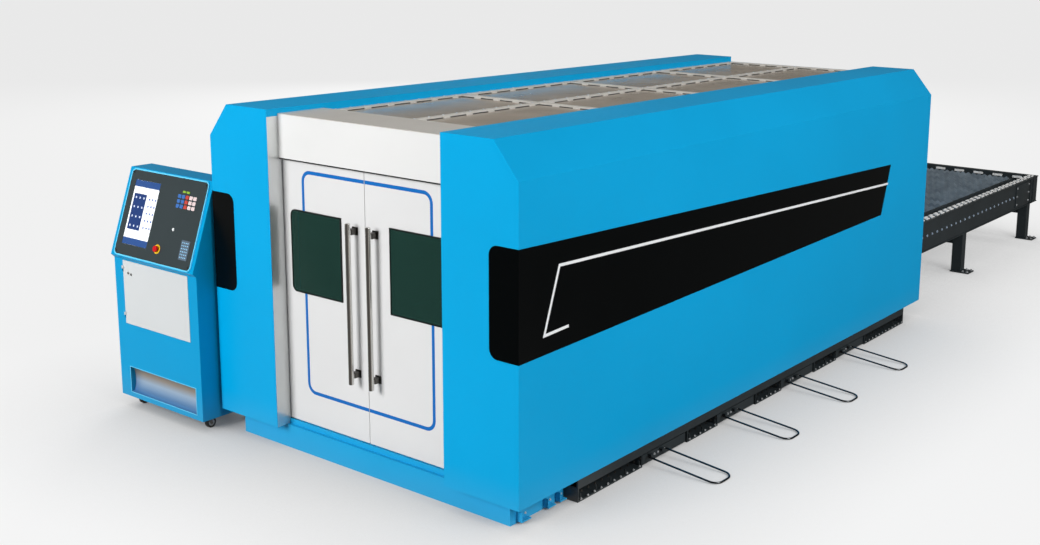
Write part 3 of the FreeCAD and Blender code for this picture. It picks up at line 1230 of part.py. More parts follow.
def caster_wheel(place):
    """Wheel with its bore."""
    x, y = place
    start = (x - CASTER_WHEEL_WIDTH / 2, y + CASTER_TRAIL, CASTER_WHEEL_RADIUS)
    wheel = cylinder(CASTER_WHEEL_RADIUS, start, (1, 0, 0), CASTER_WHEEL_WIDTH)
    bore = cylinder(CASTER_AXLE_RADIUS + CASTER_BORE_FIT, (start[0] - 1, start[1], start[2]), (1, 0, 0),
                    CASTER_WHEEL_WIDTH + 2)
    return [wheel.cut(bore)]


# ---- All nodes ---------------------------------------------------------------------------------

def nodes():
    """Every sub-part by name, as its list of solids."""
    inside, outside = PALLET_INSIDE_Y, PALLET_INSIDE_Y + PALLET_TRAVEL
    parts = {
        "foot_beams": foot_beams(),
        "front_plinth": front_plinth(),
        "scrap_chutes": scrap_chutes(),
        "bed_frames": bed_frames(),
        "y_guides": y_guides(),
        "left_side_cover": left_side_cover(),
        "right_side_cover": right_side_cover(),
        "left_front_pillar": [mirrored(right_front_pillar()[0])],
        "right_front_pillar": right_front_pillar(),
        "door_jambs": door_jambs(),
        "header_panel": header_panel(),
        "door_tracks": door_tracks(),
        "rear_wall": rear_wall(),
        "side_bands": both_sides([right_band()]),
        "roof_frame": roof_frame(),
        "roof_panes": roof_panes(),
        "left_door": [mirrored(right_door())],
        "right_door": [right_door()],
        "left_window": [mirrored(right_window())],
        "right_window": [right_window()],
        "left_handle": [mirrored(right_handle())],
        "right_handle": [right_handle()],
        "gantry_beam": gantry_beam(),
        "gantry_ends": gantry_ends(),
        "gantry_motors": gantry_motors(),
        "x_rails": x_rails(),
        "x_carriage": x_carriage(),
        "lift_motor": lift_motor(),
        "lift_slide": lift_slide(),
        "cutting_head": cutting_head(),
        "upper_pallet": pallet_frame(outside, UPPER_RAIL_TOP),
        "upper_slats": pallet_slats(outside, UPPER_RAIL_TOP),
        "lower_pallet": pallet_frame(inside, LOWER_RAIL_TOP),
        "lower_slats": pallet_slats(inside, LOWER_RAIL_TOP),
        "pallet_rails": pallet_rails(),
        "table_frame": table_frame(),
        "table_legs": table_legs(),
        "drive_shaft": drive_shaft(),
        "drive_chains": drive_chains(),
        "table_gearmotor": table_gearmotor(),
        "console_body": console_body(),
        "console_door": console_door(),
        "console_panel": console_panel(),
        "console_screen": console_screen(),
        "stop_button": stop_button(),
    }
    for index, middle in enumerate(bay_middles(), 1):
        parts[f"drawer_{index}"] = drawer(middle)
        parts[f"drawer_pull_{index}"] = drawer_pull(middle)
    places = caster_places()
    parts["caster_fork_1"] = [caster_fork(places[0])]
    parts["caster_fork_2"] = [caster_fork(places[1])]
    parts["rear_caster_brackets"] = [caster_fork(places[2]), caster_fork(places[3])]
    for index, place in enumerate(places, 1):
        parts[f"caster_wheel_{index}"] = caster_wheel(place)
    return parts


def main():
    os.makedirs("parts", exist_ok=True)
    for name, shapes in nodes().items():
        solids = [solid for shape in shapes for solid in shape.Solids]
        shape = solids[0] if len(solids) == 1 else Part.makeCompound(solids)
        valid = all(solid.isValid() for solid in solids)
        shape.exportStep(f"parts/{name}.step")
        print(f"{name}: {len(solids)} solids, {shape.Volume / 1e6:.3f} litres, valid {valid}")


main()
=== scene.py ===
import math
from itertools import product

import bmesh
import bpy
from mathutils import Matrix, Vector


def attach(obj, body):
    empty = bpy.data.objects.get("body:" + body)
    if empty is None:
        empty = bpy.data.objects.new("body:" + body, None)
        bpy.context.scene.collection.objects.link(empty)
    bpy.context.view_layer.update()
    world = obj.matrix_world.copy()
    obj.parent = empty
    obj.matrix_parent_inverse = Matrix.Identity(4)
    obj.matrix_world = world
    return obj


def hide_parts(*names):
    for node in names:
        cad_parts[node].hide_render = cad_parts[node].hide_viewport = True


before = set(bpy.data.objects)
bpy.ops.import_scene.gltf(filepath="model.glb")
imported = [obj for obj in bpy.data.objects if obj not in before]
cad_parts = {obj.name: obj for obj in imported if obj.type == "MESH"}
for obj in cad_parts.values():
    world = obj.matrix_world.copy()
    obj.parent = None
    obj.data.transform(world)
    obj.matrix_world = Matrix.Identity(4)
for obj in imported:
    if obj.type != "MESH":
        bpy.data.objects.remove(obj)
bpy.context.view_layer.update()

# ---- Camera, floor and light ----
# The camera stands to the right of the doors, well above head height, as in the photograph.
# The floor is plain and pale, under soft studio lamps that are strongest in front of the doors.

CAMERA_PLACE = Vector((5.3626, -7.5205, 3.1102))
CAMERA_FORWARD = Vector((-0.5793, 0.7934, -0.1870)).normalized()
CAMERA_RIGHT = Vector((0.8060, 0.5917, 0.0134)).normalized()
SENSOR_WIDTH = 36.0
FOCAL_LENGTH = 43.756
FRAME_SHIFT = (-0.0865, -0.0786)
SIGHT = 500.0              # the camera sees this far, in metres
FLOOR_REACH = 200.0
DOORS_AHEAD = 2.6          # the doors stand this far in front of the origin, in metres
LAMP_SIZE = 6.0
DARK_HALL, BRIGHT_WINDOW = 0.14, 0.85

scene = bpy.context.scene
scene.view_settings.view_transform = "Standard"
lens = bpy.data.cameras.new("camera")
lens.sensor_width = SENSOR_WIDTH
lens.lens = FOCAL_LENGTH
lens.shift_x, lens.shift_y = FRAME_SHIFT
lens.clip_end = SIGHT
camera = bpy.data.objects.new("camera", lens)
camera_up = CAMERA_RIGHT.cross(CAMERA_FORWARD).normalized()
facing = Matrix((CAMERA_RIGHT, camera_up, -CAMERA_FORWARD)).transposed()
camera.matrix_world = Matrix.Translation(CAMERA_PLACE) @ facing.to_4x4()
scene.collection.objects.link(camera)
scene.camera = camera


def linear(code, share=1.0):
    """Linear colour of an sRGB hex value, made darker or lighter by a share."""
    parts = [int(code[at:at + 2], 16) / 255 for at in (1, 3, 5)]
    parts = [part / 12.92 if part <= 0.04045 else ((part + 0.055) / 1.055) ** 2.4 for part in parts]
    return (*[min(1.0, part * share) for part in parts], 1.0)


def feed(tree, node, inputs):
    """Fills a node's inputs: nodes, each by its first output, and sockets are linked, values are set."""
    for name, given in inputs.items():
        for value in given if isinstance(given, list) else [given]:
            if isinstance(value, bpy.types.Node):
                value = next(output for output in value.outputs if output.enabled)
            if isinstance(value, bpy.types.NodeSocket):
                tree.links.new(value, node.inputs[name])
            else:
                node.inputs[name].default_value = value
    return node


def add(tree, kind, inputs=None, **settings):
    """New node with its settings and its inputs."""
    made = tree.nodes.new(kind)
    for name, value in settings.items():
        setattr(made, name, value)
    return feed(tree, made, inputs or {})


def material(name):
    """New material with its tree, its shader and the coordinates of the piece."""
    made = bpy.data.materials.new(name)
    made.use_nodes = True
    tree = made.node_tree
    place = add(tree, "ShaderNodeTexCoord").outputs["Object"]
    return made, tree, tree.nodes["Principled BSDF"], place


def hall(tree, towards):
    """Strength of what paint and metal mirror: a dark hall, a tall bright window on either side."""
    parts = add(tree, "ShaderNodeSeparateXYZ", {0: towards}).outputs
    bearing = add(tree, "ShaderNodeMath", {0: parts["Y"], 1: parts["X"]}, operation="ARCTAN2")
    doubled = add(tree, "ShaderNodeMath", {0: bearing, 1: 2.0}, operation="MULTIPLY")
    window = add(tree, "ShaderNodeMath", {0: doubled}, operation="COSINE")
    return add(tree, "ShaderNodeMapRange", {"Value": window, "From Min": 0.25, "From Max": 0.85,
                                            "To Min": DARK_HALL, "To Max": BRIGHT_WINDOW})


# The lens sees a lit pale floor, a little darker where the machine covers it: painted shade, by ambient
# occlusion. The paint mirrors a greyer one, as with a matt floor in a hall.
floor_paint, tree, shader, place = material("studio_floor")
feed(tree, shader, {"Base Color": linear("#ACACAB"), "Roughness": 0.8, "Specular IOR Level": 0.0})
rays = add(tree, "ShaderNodeLightPath").outputs
# Ambient occlusion takes the even light away near and under the machine: painted shade.
open_sky = add(tree, "ShaderNodeAmbientOcclusion", {"Distance": 1.5}, samples=8).outputs["AO"]
share = add(tree, "ShaderNodeMath", {0: open_sky, 1: 0.74}, operation="MULTIPLY")
even = add(tree, "ShaderNodeMath", {0: rays["Is Camera Ray"], 1: share}, operation="MULTIPLY")
lit = add(tree, "ShaderNodeEmission", {"Color": linear("#F4F4F4"), "Strength": 1.19})
pale = add(tree, "ShaderNodeMixShader", {0: even, 1: shader, 2: lit})
around = add(tree, "ShaderNodeMapping", {"Vector": place, "Location": (0.0, DOORS_AHEAD, 0.0)})
matt = add(tree, "ShaderNodeEmission", {"Color": linear("#D5D0CA"), "Strength": hall(tree, around)})
seen = add(tree, "ShaderNodeMixShader", {0: rays["Is Glossy Ray"], 1: pale, 2: matt})
feed(tree, tree.nodes["Material Output"], {"Surface": seen})
floor_mesh = bpy.data.meshes.new("floor")
corners = [(x * FLOOR_REACH, y * FLOOR_REACH, 0) for x, y in ((-1, -1), (1, -1), (1, 1), (-1, 1))]
floor_mesh.from_pydata(corners, [], [(0, 1, 2, 3)])
floor_mesh.materials.append(floor_paint)
floor = bpy.data.objects.new("floor", floor_mesh)
scene.collection.objects.link(floor)

# The lens sees a pale studio; the paint mirrors a darker one, as under large lamps in a dark hall.
world = bpy.data.worlds.new("studio")
world.use_nodes = True
scene.world = world
tree = world.node_tree
rays = add(tree, "ShaderNodeLightPath").outputs
ray = add(tree, "ShaderNodeTexCoord").outputs["Generated"]
dim = add(tree, "ShaderNodeBackground", {"Color": linear("#F2F2F2"), "Strength": 0.2})
mirrored = add(tree, "ShaderNodeBackground", {"Color": linear("#D5D0CA"), "Strength": hall(tree, ray)})
seen = add(tree, "ShaderNodeBackground", {"Color": linear("#F2F2F2"), "Strength": 0.9})
light = add(tree, "ShaderNodeMixShader", {0: rays["Is Glossy Ray"], 1: dim, 2: mirrored})
both = add(tree, "ShaderNodeMixShader", {0: rays["Is Camera Ray"], 1: light, 2: seen})
feed(tree, tree.nodes["World Output"], {"Surface": both})


def lamp(name, place, target, power, mirrored=True):
    """Square soft lamp that faces a point. Paint and metal need not mirror it."""
    light = bpy.data.lights.new(name, "AREA")
    light.size = LAMP_SIZE
    light.energy = power
    made = bpy.data.objects.new(name, light)
    aim = (Vector(target) - Vector(place)).to_track_quat("-Z", "Y")
    made.matrix_world = Matrix.Translation(place) @ aim.to_matrix().to_4x4()
    made.visible_glossy = mirrored
    scene.collection.objects.link(made)


lamp("front_lamp", (-3.0, -14.0, 6.0), (0.0, -2.0, 1.4), 1760.0, mirrored=False)
lamp("side_lamp", (12.3, -1.3, 7.6), (1.2, 0.5, 1.6), 1390.0)
lamp("back_lamp", (-13.0, 14.0, 7.0), (-0.5, 2.0, 1.2), 2100.0, mirrored=False)

# ---- Blue covers ----
# Folded 3 mm sheet steel over a welded frame, powder coated in a bright semi-gloss blue.
# Powder coat has a fine orange peel and a slightly uneven gloss, and holds dust near the floor.

MM = 0.001
DUST_TOP = 0.30            # the coat is dusty up to this height, in metres


def surface(tree, shader, colour, gloss, relief, **more):
    """Ends a finish: its colour, a pattern with its roughness range, and one with its relief."""
    pattern, low, high = gloss
    sheen = add(tree, "ShaderNodeMapRange", {"Value": pattern, "To Min": low, "To Max": high})
    grain, strength, depth = relief
    bump = add(tree, "ShaderNodeBump", {"Height": grain, "Strength": strength, "Distance": depth})
    feed(tree, shader, {"Base Color": colour, "Roughness": sheen, "Normal": bump, **more})


def powder_coat(name, code, gloss):
    """Powder-coated steel: faint mottling, orange peel and a little dust close to the floor."""
    made, tree, shader, place = material(name)
    # Orange peel is 1 to 3 mm across; it is drawn at 8 mm so that it holds in the render.
    peel = add(tree, "ShaderNodeTexNoise", {"Vector": place, "Scale": 125.0, "Detail": 2.0})
    broad = add(tree, "ShaderNodeTexNoise", {"Vector": place, "Scale": 1.3, "Detail": 3.0})
    mottle = add(tree, "ShaderNodeMix", {0: broad, 6: linear(code, 0.93), 7: linear(code, 1.05)},
                 data_type="RGBA")
    height = add(tree, "ShaderNodeSeparateXYZ", {0: place}).outputs["Z"]
    low = add(tree, "ShaderNodeMapRange", {"Value": height, "From Max": DUST_TOP, "To Min": 0.10,
                                           "To Max": 0.0})
    dust = add(tree, "ShaderNodeMix", {0: low, 6: mottle, 7: linear("#8E8B85")}, data_type="RGBA")
    surface(tree, shader, dust, (broad, gloss - 0.04, gloss + 0.06), (peel, 0.05, 0.001),
            **{"Specular IOR Level": 0.16})
    return made


def dress(finish, *names):
    """Gives a finish to nodes of the frame."""
    for name in names:
        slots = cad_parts[name].data.materials
        slots.clear()
        slots.append(finish)


blue_coat = powder_coat("blue_powder_coat", "#009FD6", 0.38)
dress(blue_coat, "left_side_cover", "right_side_cover", "left_front_pillar", "right_front_pillar",
      "front_plinth", "rear_wall", "door_tracks")

# ---- Side bands ----
# Black cast vinyl film on the covers, wrapped round the front corners, with a thin white cut line
# that follows the edges of the band. The vinyl is smooth and glossy, but mirrors little.

SIDES = ((1, "right"), (-1, "left"))
LINE_WIDTH = 17.0
FILM = 0.3                 # thickness of a cut or painted line
BAND_FACE = 1262.0
LINE_POINTS = ((-2270.0, 1088.0), (-2482.0, 1080.0), (-2354.0, 1445.0), (1892.0, 1293.0))


def film(name, code, rough, alpha=1.0, glow=0.0, tone=0.85, gloss=0.5):
    """Smooth plastic, vinyl or glass: a fine moulded texture and small changes of tone."""
    made, tree, shader, place = material(name)
    # The moulded texture is drawn 1.7 mm across, coarser than it is, so that it softens the gloss.
    grain = add(tree, "ShaderNodeTexNoise", {"Vector": place, "Scale": 600.0, "Detail": 2.0})
    broad = add(tree, "ShaderNodeTexNoise", {"Vector": place, "Scale": 3.0, "Detail": 3.0})
    colour = add(tree, "ShaderNodeMix", {0: broad, 6: linear(code, tone), 7: linear(code)},
                 data_type="RGBA")
    surface(tree, shader, colour, (broad, max(0.02, rough - 0.05), rough + 0.05),
            (grain, 0.03, 0.0003), Alpha=alpha, **{"Specular IOR Level": gloss})
    if glow:
        feed(tree, shader, {"Emission Color": colour, "Emission Strength": glow})
    return made


def drawn(make, *shapes, **same):
    """New mesh in which a maker draws each of the shapes, in millimetres."""
    bm = bmesh.new()
    for shape in shapes:
        make(bm, *shape, **same)
    return bm


def own(name, mesh, body):
    """New object of a mesh that rides a body."""
    made = bpy.data.objects.new(name, mesh)
    scene.collection.objects.link(made)
    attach(made, body)
    return made


def piece(name, bm, finish, turn=None, body="machine", sharp=25.0):
    """Makes a drawn mesh a piece in the row frame that rides a body."""
    if turn is not None:
        bm.transform(turn)
    bm.transform(Matrix.Scale(MM, 4))
    bmesh.ops.recalc_face_normals(bm, faces=bm.faces)
    mesh = bpy.data.meshes.new(name)
    bm.to_mesh(mesh)
    bm.free()
    mesh.shade_smooth()
    mesh.set_sharp_from_angle(angle=math.radians(sharp))
    mesh.materials.append(finish)
    return own(name, mesh, body)


def skin(bm, rings, closed=False):
    """Faces from ring to ring of points, and over both ends unless the last ring meets the first."""
    rings = [[bm.verts.new(point) for point in ring] for ring in rings]
    for low, high in zip(rings, rings[1:] + rings[:1] * closed):
        for at in range(max(len(low), len(high))):
            corners = [low[at % len(low)], low[(at + 1) % len(low)], high[(at + 1) % len(high)],
                       high[at % len(high)]]
            bm.faces.new(list(dict.fromkeys(corners)))
    for end in () if closed else (rings[0], rings[-1]):
        if len(end) > 2:
            bm.faces.new(end)


def strip(bm, path, width, height, out, closed=False):
    """Flat strip along a line in a plane; it stands a height proud in the direction out."""
    out = Vector(out)
    path = [Vector(point) for point in path]
    across = [out.cross(after - point).normalized() for point, after in zip(path, path[1:] + path[:1])]
    if not closed:
        across[-1] = across[-2]
    rings = []
    for at, point in enumerate(path):
        before, after = across[at - 1 if closed or at else 0], across[at]
        reach = (before + after) / (1 + before.dot(after)) * width / 2
        low, high = point - reach, point + reach
        rings.append((high, low, low + out * height, high + out * height))
    skin(bm, rings, closed)


white_film = film("white_cut_vinyl", "#F2F4F5", 0.35)
dress(film("black_gloss_vinyl", "#030506", 0.3, gloss=0.12), "side_bands")
for side, name in SIDES:
    cut = [(side * BAND_FACE, y, z) for y, z in LINE_POINTS]
    piece(name + "_band_line", drawn(strip, (cut, LINE_WIDTH, FILM, (side, 0, 0))), white_film)

# ---- Doors and header ----
# Two hollow steel leaves that slide behind the pillars, under a folded header, in cool white powder
# coat. A blue painted outline runs round both leaves and stops at the windows of green acrylic.

LEAF_FACE = -2577.0
OUTLINE_WIDTH, OUTLINE_RADIUS = 22.0, 60.0
OUTLINE_X = (3.0, 534.0)   # from where the outline starts on a leaf
OUTLINE_SPAN = (396.0, 1779.0)
WINDOW_X = (206.0, 646.0)
WINDOW_HEIGHTS = (1028.0, 1536.0)
WINDOW_RADIUS = 36.0
GASKET = 7.0
TOWARDS_FRONT = (0, -1, 0)
ARC_STEPS = 7


def rounded(points, *radii, closed=False):
    """The line of points with its corners turned into arcs, by one radius or by one for each point."""
    points = [Vector(point) for point in points]
    line = []
    for at, corner in enumerate(points):
        if not closed and at in (0, len(points) - 1):
            line.append(corner)
            continue
        radius = radii[at % len(radii)]
        came = (corner - points[at - 1]).normalized()
        goes = (points[(at + 1) % len(points)] - corner).normalized()
        bend = came.angle(goes)
        inward = (goes - came * came.dot(goes)).normalized()
        start = corner - came * radius * math.tan(bend / 2)
        for step in range(ARC_STEPS + 1):
            turned = bend * step / ARC_STEPS
            line.append(start + inward * radius * (1 - math.cos(turned)) + came * radius * math.sin(turned))
    return line


def upright(x, z, y):
    """Corners of an upright rectangle."""
    return [(x[0], y, z[0]), (x[1], y, z[0]), (x[1], y, z[1]), (x[0], y, z[1])]


dress(powder_coat("white_powder_coat", "#D6D6D6", 0.42), "left_door", "right_door")
dress(powder_coat("header_powder_coat", "#DADAD9", 0.42), "header_panel")
# Laser-safe acrylic is dark green, clear and glossy, and lets a little of the dark inside through.
dress(film("laser_green_acrylic", "#1B3A33", 0.06, alpha=0.9, tone=0.8), "left_window", "right_window")
blue_line = powder_coat("blue_line_paint", "#0F66B4", 0.4)
gasket_rubber = film("black_gasket_rubber", "#141716", 0.6)
for side, name in SIDES:
    start, edge = [side * x for x in OUTLINE_X]
    lines = []
    for level, stop in zip(OUTLINE_SPAN[::-1], WINDOW_HEIGHTS[::-1]):
        corners = [(start, LEAF_FACE, level), (edge, LEAF_FACE, level), (edge, LEAF_FACE, stop)]
        lines.append((rounded(corners, OUTLINE_RADIUS), OUTLINE_WIDTH, FILM, TOWARDS_FRONT))
    piece(name + "_door_outline", drawn(strip, *lines), blue_line, body=name + "_leaf")
    # The pane is square where it meets the middle of the doors; its gasket is rounded at all four corners.
    corners = upright([side * x for x in WINDOW_X], WINDOW_HEIGHTS, LEAF_FACE)
    line = (rounded(corners, WINDOW_RADIUS), GASKET, GASKET, TOWARDS_FRONT)
    piece(name + "_window_gasket", drawn(strip, line, closed=True), gasket_rubber,
          body=name + "_leaf")

# ---- Door handles ----
# Chromed steel tubes, each held by two dark zinc blocks bolted through the leaf, with a domed cap
# pressed into each end. Polished chrome mirrors the hall in sharp upright streaks.

HANDLE_X, HANDLE_Y = 85.0, -2637.0
HANDLE_SPAN = (558.0, 1530.0)
CAP_RADIUS, CAP_RISE = 15.5, 7.0
CAP_STEPS = 6
MOUNT_HEIGHTS = (608.0, 1480.0)
# Two opposite corners and the bevel, here of a block and of the plate between it and the leaf.
MOUNT = (((68.0, -2622.0, -17.0), (102.0, -2582.0, 17.0), 2.5),
         ((61.0, -2582.0, -24.0), (109.0, LEAF_FACE, 24.0), 1.5))
UP, DOWN = Matrix.Identity(4), Matrix.Rotation(math.pi, 4, "X")


def block(bm, one, other, bevel=0.0, steps=2):
    """Box between two opposite corners, with rounded edges."""
    low, high = Vector(map(min, one, other)), Vector(map(max, one, other))
    corners = bmesh.ops.create_cube(bm, size=1.0)["verts"]
    for vert in corners:
        vert.co = (low + high) / 2 + vert.co * (high - low)
    if bevel:
        edges = {edge for vert in corners for edge in vert.link_edges}
        bmesh.ops.bevel(bm, geom=list(edges), offset=bevel, segments=steps, affect="EDGES", profile=0.5)


def put(box, side=1, y=0.0, z=0.0):
    """A box on one side of the machine, moved along and up."""
    return [(side * corner[0], corner[1] + y, corner[2] + z) for corner in box[:2]] + list(box[2:])


def around(count):
    """Equal steps of a full turn."""
    return [2 * math.pi * step / count for step in range(count)]


def lathe(bm, profile, place, turn=UP, sides=40, ring=False):
    """Turned part: (radius, height) pairs along +Z of its turn. A ring's profile is closed."""
    move = Matrix.Translation(place) @ turn
    skin(bm, [[move @ Vector((radius * math.cos(angle), radius * math.sin(angle), height))
               for angle in (around(sides) if radius else [0.0])] for radius, height in profile], ring)


def bare_metal(name, code, rough, grain=None, pitch=6.0, wear=0.12, metallic=1.0):
    """Metal with its grain along one axis, or every way. Pitch is the grain's size in millimetres."""
    made, tree, shader, place = material(name)
    # Brushed and ground grain is finer than 0.1 mm; its pitch is drawn as coarse as it has to show.
    scale = [1000.0 / pitch] * 3
    if grain is not None:
        scale[grain] = 4.0
    along = add(tree, "ShaderNodeMapping", {"Vector": place, "Scale": tuple(scale)})
    lines = add(tree, "ShaderNodeTexNoise", {"Vector": along, "Scale": 1.0, "Detail": 3.0})
    broad = add(tree, "ShaderNodeTexNoise", {"Vector": place, "Scale": 5.0, "Detail": 4.0})
    tone = add(tree, "ShaderNodeMix", {0: broad, 6: linear(code, 1 - wear), 7: linear(code)},
               data_type="RGBA")
    surface(tree, shader, tone, (lines, max(0.03, rough - 0.05), rough + 0.08), (lines, 0.06, 0.0004),
            Metallic=metallic)
    return made


chrome = bare_metal("polished_chrome", "#D8D6D2", 0.1, grain=2, wear=0.05)
dark_zinc = bare_metal("black_zinc", "#5A5855", 0.32)
dress(chrome, "left_handle", "right_handle")
cap = [(CAP_RADIUS * math.cos(turned), CAP_RISE * math.sin(turned))
       for turned in around(4 * CAP_STEPS)[:CAP_STEPS]] + [(0, CAP_RISE)]
for side, name in SIDES:
    blocks = [put(box, side, z=z) for z in MOUNT_HEIGHTS for box in MOUNT]
    piece(name + "_handle_blocks", drawn(block, *blocks), dark_zinc, body=name + "_leaf")
    caps = [(cap, (side * HANDLE_X, HANDLE_Y, z), turn) for z, turn in zip(HANDLE_SPAN, (DOWN, UP))]
    piece(name + "_handle_caps", drawn(lathe, *caps), chrome, body=name + "_leaf")

# ---- Header wiper and painted seam shade ----
# A strip of black rubber, clipped under the header, wipes the dust off the leaves as they slide. It is matt,
# like the gaskets of the windows. Its black also stands in for the shade in the seam between header and
# leaves, as painted shade.

# The black strip is partly a wiper and partly painted shade along the seam.
WIPER_AND_SEAM_SHADE = ((-712.0, -2604.0, 1842.0), (712.0, -2582.0, 1850.0), 1.0)
piece("header_wiper_seam_shade", drawn(block, WIPER_AND_SEAM_SHADE), gasket_rubber)

# ---- Door jambs and sill ----
# Folded plates of brushed stainless steel line the pillars beside the leaves. They are screwed on
# from behind, and their upright brushing draws the light out into a long soft streak.

dress(bare_metal("brushed_stainless", "#D9DBDA", 0.3, grain=2, pitch=1.2, metallic=0.75), "door_jambs")

# ---- Roof ----
# Anodised aluminium bars carry eight smoked polycarbonate panes. Each pane sits in a rubber gasket
# under clamp pads, and hexagon screws hold the bars to the covers.

ROOF_ROWS = [-2225.0 + 1223.0 * row for row in range(5)]
ROOF_COLUMNS = (-693.0, 0.0, 693.0)
BAR_TOP, PANE_TOP = 2104.0, 2090.0
PANE_INSET = 24.0
GASKET_HEIGHT = 4.0
BAR_SCREWS, BAR_CLAMPS = (-2163.85, 2605.85, 122.3), (-2123.1, 2565.1, 203.8)  # from, to and pitch
CLAMP_X = [half * x for half in (-1, 1) for x in (173.0, 346.0, 519.0)]
CLAMP_SHIFTS = (-29.0, 29.0)           # middle of a bar to the middles of its clamps
CLAMP = {"Length": 54.0, "Width": 16.0, "Height": 9.0, "Corner": 3.0}
QUARTER = math.pi / 2
FACE_UP = (0.0, 0.0, 0.0)
FACE_SIDE = {1: (QUARTER, 0.0, QUARTER), -1: (QUARTER, 0.0, -QUARTER)}
FACE_FRONT, FACE_REAR = (QUARTER, 0.0, 0.0), (QUARTER, 0.0, math.pi)
LENGTHWISE = (0.0, 0.0, QUARTER)       # a pad that lies along Y, facing up


def new_group(name, sizes):
    """New geometry tree with a Finish, a Turn and named sizes; returns it with its two end nodes."""
    tree = bpy.data.node_groups.new(name, "GeometryNodeTree")
    for label, kind in (("Geometry", "Geometry"), ("Finish", "Material"), ("Turn", "Vector")):
        tree.interface.new_socket(label, in_out="INPUT", socket_type="NodeSocket" + kind)
    for label, value in sizes.items():
        kind = "NodeSocketInt" if isinstance(value, int) else "NodeSocketFloat"
        tree.interface.new_socket(label, in_out="INPUT", socket_type=kind).default_value = value
    tree.interface.new_socket("Geometry", in_out="OUTPUT", socket_type="NodeSocketGeometry")
    return tree, tree.nodes.new("NodeGroupInput").outputs, tree.nodes.new("NodeGroupOutput")


def repeat(tree, given, end, part):
    """Ends a tree: the part stands, turned, on every point of the host, with its finish."""
    turned = add(tree, "FunctionNodeEulerToRotation", {0: given["Turn"]})
    copies = add(tree, "GeometryNodeInstanceOnPoints", {"Points": given["Geometry"], "Instance": part,
                                                        "Rotation": turned})
    real = add(tree, "GeometryNodeRealizeInstances", {"Geometry": copies})
    dressed = add(tree, "GeometryNodeSetMaterial", {"Geometry": real, "Material": given["Finish"]})
    feed(tree, end, {0: dressed})
    return tree


def moved(tree, part, height):
    """The part, moved up by a height."""
    lift = add(tree, "ShaderNodeCombineXYZ", {"Z": height})
    return add(tree, "GeometryNodeTransform", {"Geometry": part, "Translation": lift})


def shell(tree, flat, thickness, **whole):
    """Closed plate of a thickness on flat faces."""
    walls = add(tree, "GeometryNodeExtrudeMesh", {"Mesh": flat, "Offset Scale": thickness, **whole})
    under = add(tree, "GeometryNodeFlipFaces", {"Mesh": flat})
    both = add(tree, "GeometryNodeJoinGeometry", {0: [under, walls]})
    return add(tree, "GeometryNodeMergeByDistance", {"Geometry": both})


def round_plate(tree, length, width, corner, height):
    """Closed plate with round corners, from its underside up."""
    outline = add(tree, "GeometryNodeCurvePrimitiveQuadrilateral", {"Width": length, "Height": width})
    soft = add(tree, "GeometryNodeFilletCurve", {"Curve": outline, "Radius": corner, "Count": 3},
               mode="POLY")
    return shell(tree, add(tree, "GeometryNodeFillCurve", {"Curve": soft}, mode="NGONS"), height)


def bolt_tree():
    """Hexagon screw with a washer, standing on its point."""
    tree, given, end = new_group("hexagon_screws", {"Radius": 8.0, "Height": 5.0})
    wide = add(tree, "ShaderNodeMath", {0: given["Radius"], 1: 1.35}, operation="MULTIPLY")
    thin = add(tree, "ShaderNodeMath", {0: given["Height"], 1: 0.3}, operation="MULTIPLY")
    washer = add(tree, "GeometryNodeMeshCylinder", {"Vertices": 16, "Radius": wide, "Depth": thin})
    half = add(tree, "ShaderNodeMath", {0: given["Height"], 1: 0.5}, operation="MULTIPLY")
    head = add(tree, "GeometryNodeMeshCylinder", {"Vertices": 6, "Radius": given["Radius"],
                                                  "Depth": given["Height"]})
    both = add(tree, "GeometryNodeJoinGeometry", {0: [washer, moved(tree, head, half)]})
    return repeat(tree, given, end, both)


def pad_tree():
    """Flat pad with round corners, standing on its point."""
    tree, given, end = new_group("round_cornered_pads", CLAMP)
    sizes = [given[label] for label in ("Length", "Width", "Corner", "Height")]
    return repeat(tree, given, end, round_plate(tree, *sizes))


def grow(name, tree, places, finish, slot, turn=FACE_UP, body="machine", **sizes):
    """A tree's parts on their places, in millimetres, as one plain piece that rides a body."""
    host = bpy.data.meshes.new(name + "_places")
    host.from_pydata([tuple(place) for place in places], [], [])
    made = own(name, host, body)
    modifier = made.modifiers.new("parts", "NODES")
    modifier.node_group = tree
    given = {"Finish": finish, "Turn": turn, **sizes}
    for item in tree.interface.items_tree:
        if item.in_out == "INPUT" and item.name in given:
            modifier[item.identifier] = given[item.name]
    bpy.context.view_layer.update()
    grown = made.evaluated_get(bpy.context.evaluated_depsgraph_get())
    plain = bpy.data.meshes.new_from_object(grown)
    made.modifiers.clear()
    made.data = plain
    plain.transform(Matrix.Scale(MM, 4))
    return made


def spread(start, stop, pitch):
    """Places from start to stop, about a pitch apart."""
    count = max(1, round((stop - start) / pitch))
    return [start + (stop - start) * at / count for at in range(count + 1)]


def grid(*axes):
    """Every place of a grid whose axes have one value or several."""
    return list(product(*[axis if isinstance(axis, (tuple, list)) else [axis] for axis in axes]))


SCREWS, PADS = bolt_tree(), pad_tree()
# Anodising leaves the aluminium matt and warm grey; zinc plating is brighter and cooler.
anodised = bare_metal("anodised_aluminium", "#DCD8D1", 0.42, grain=1, pitch=2.0, metallic=0.3)
zinc = bare_metal("zinc_plated_steel", "#CFD2D5", 0.3, metallic=0.5)
dress(anodised, "roof_frame")
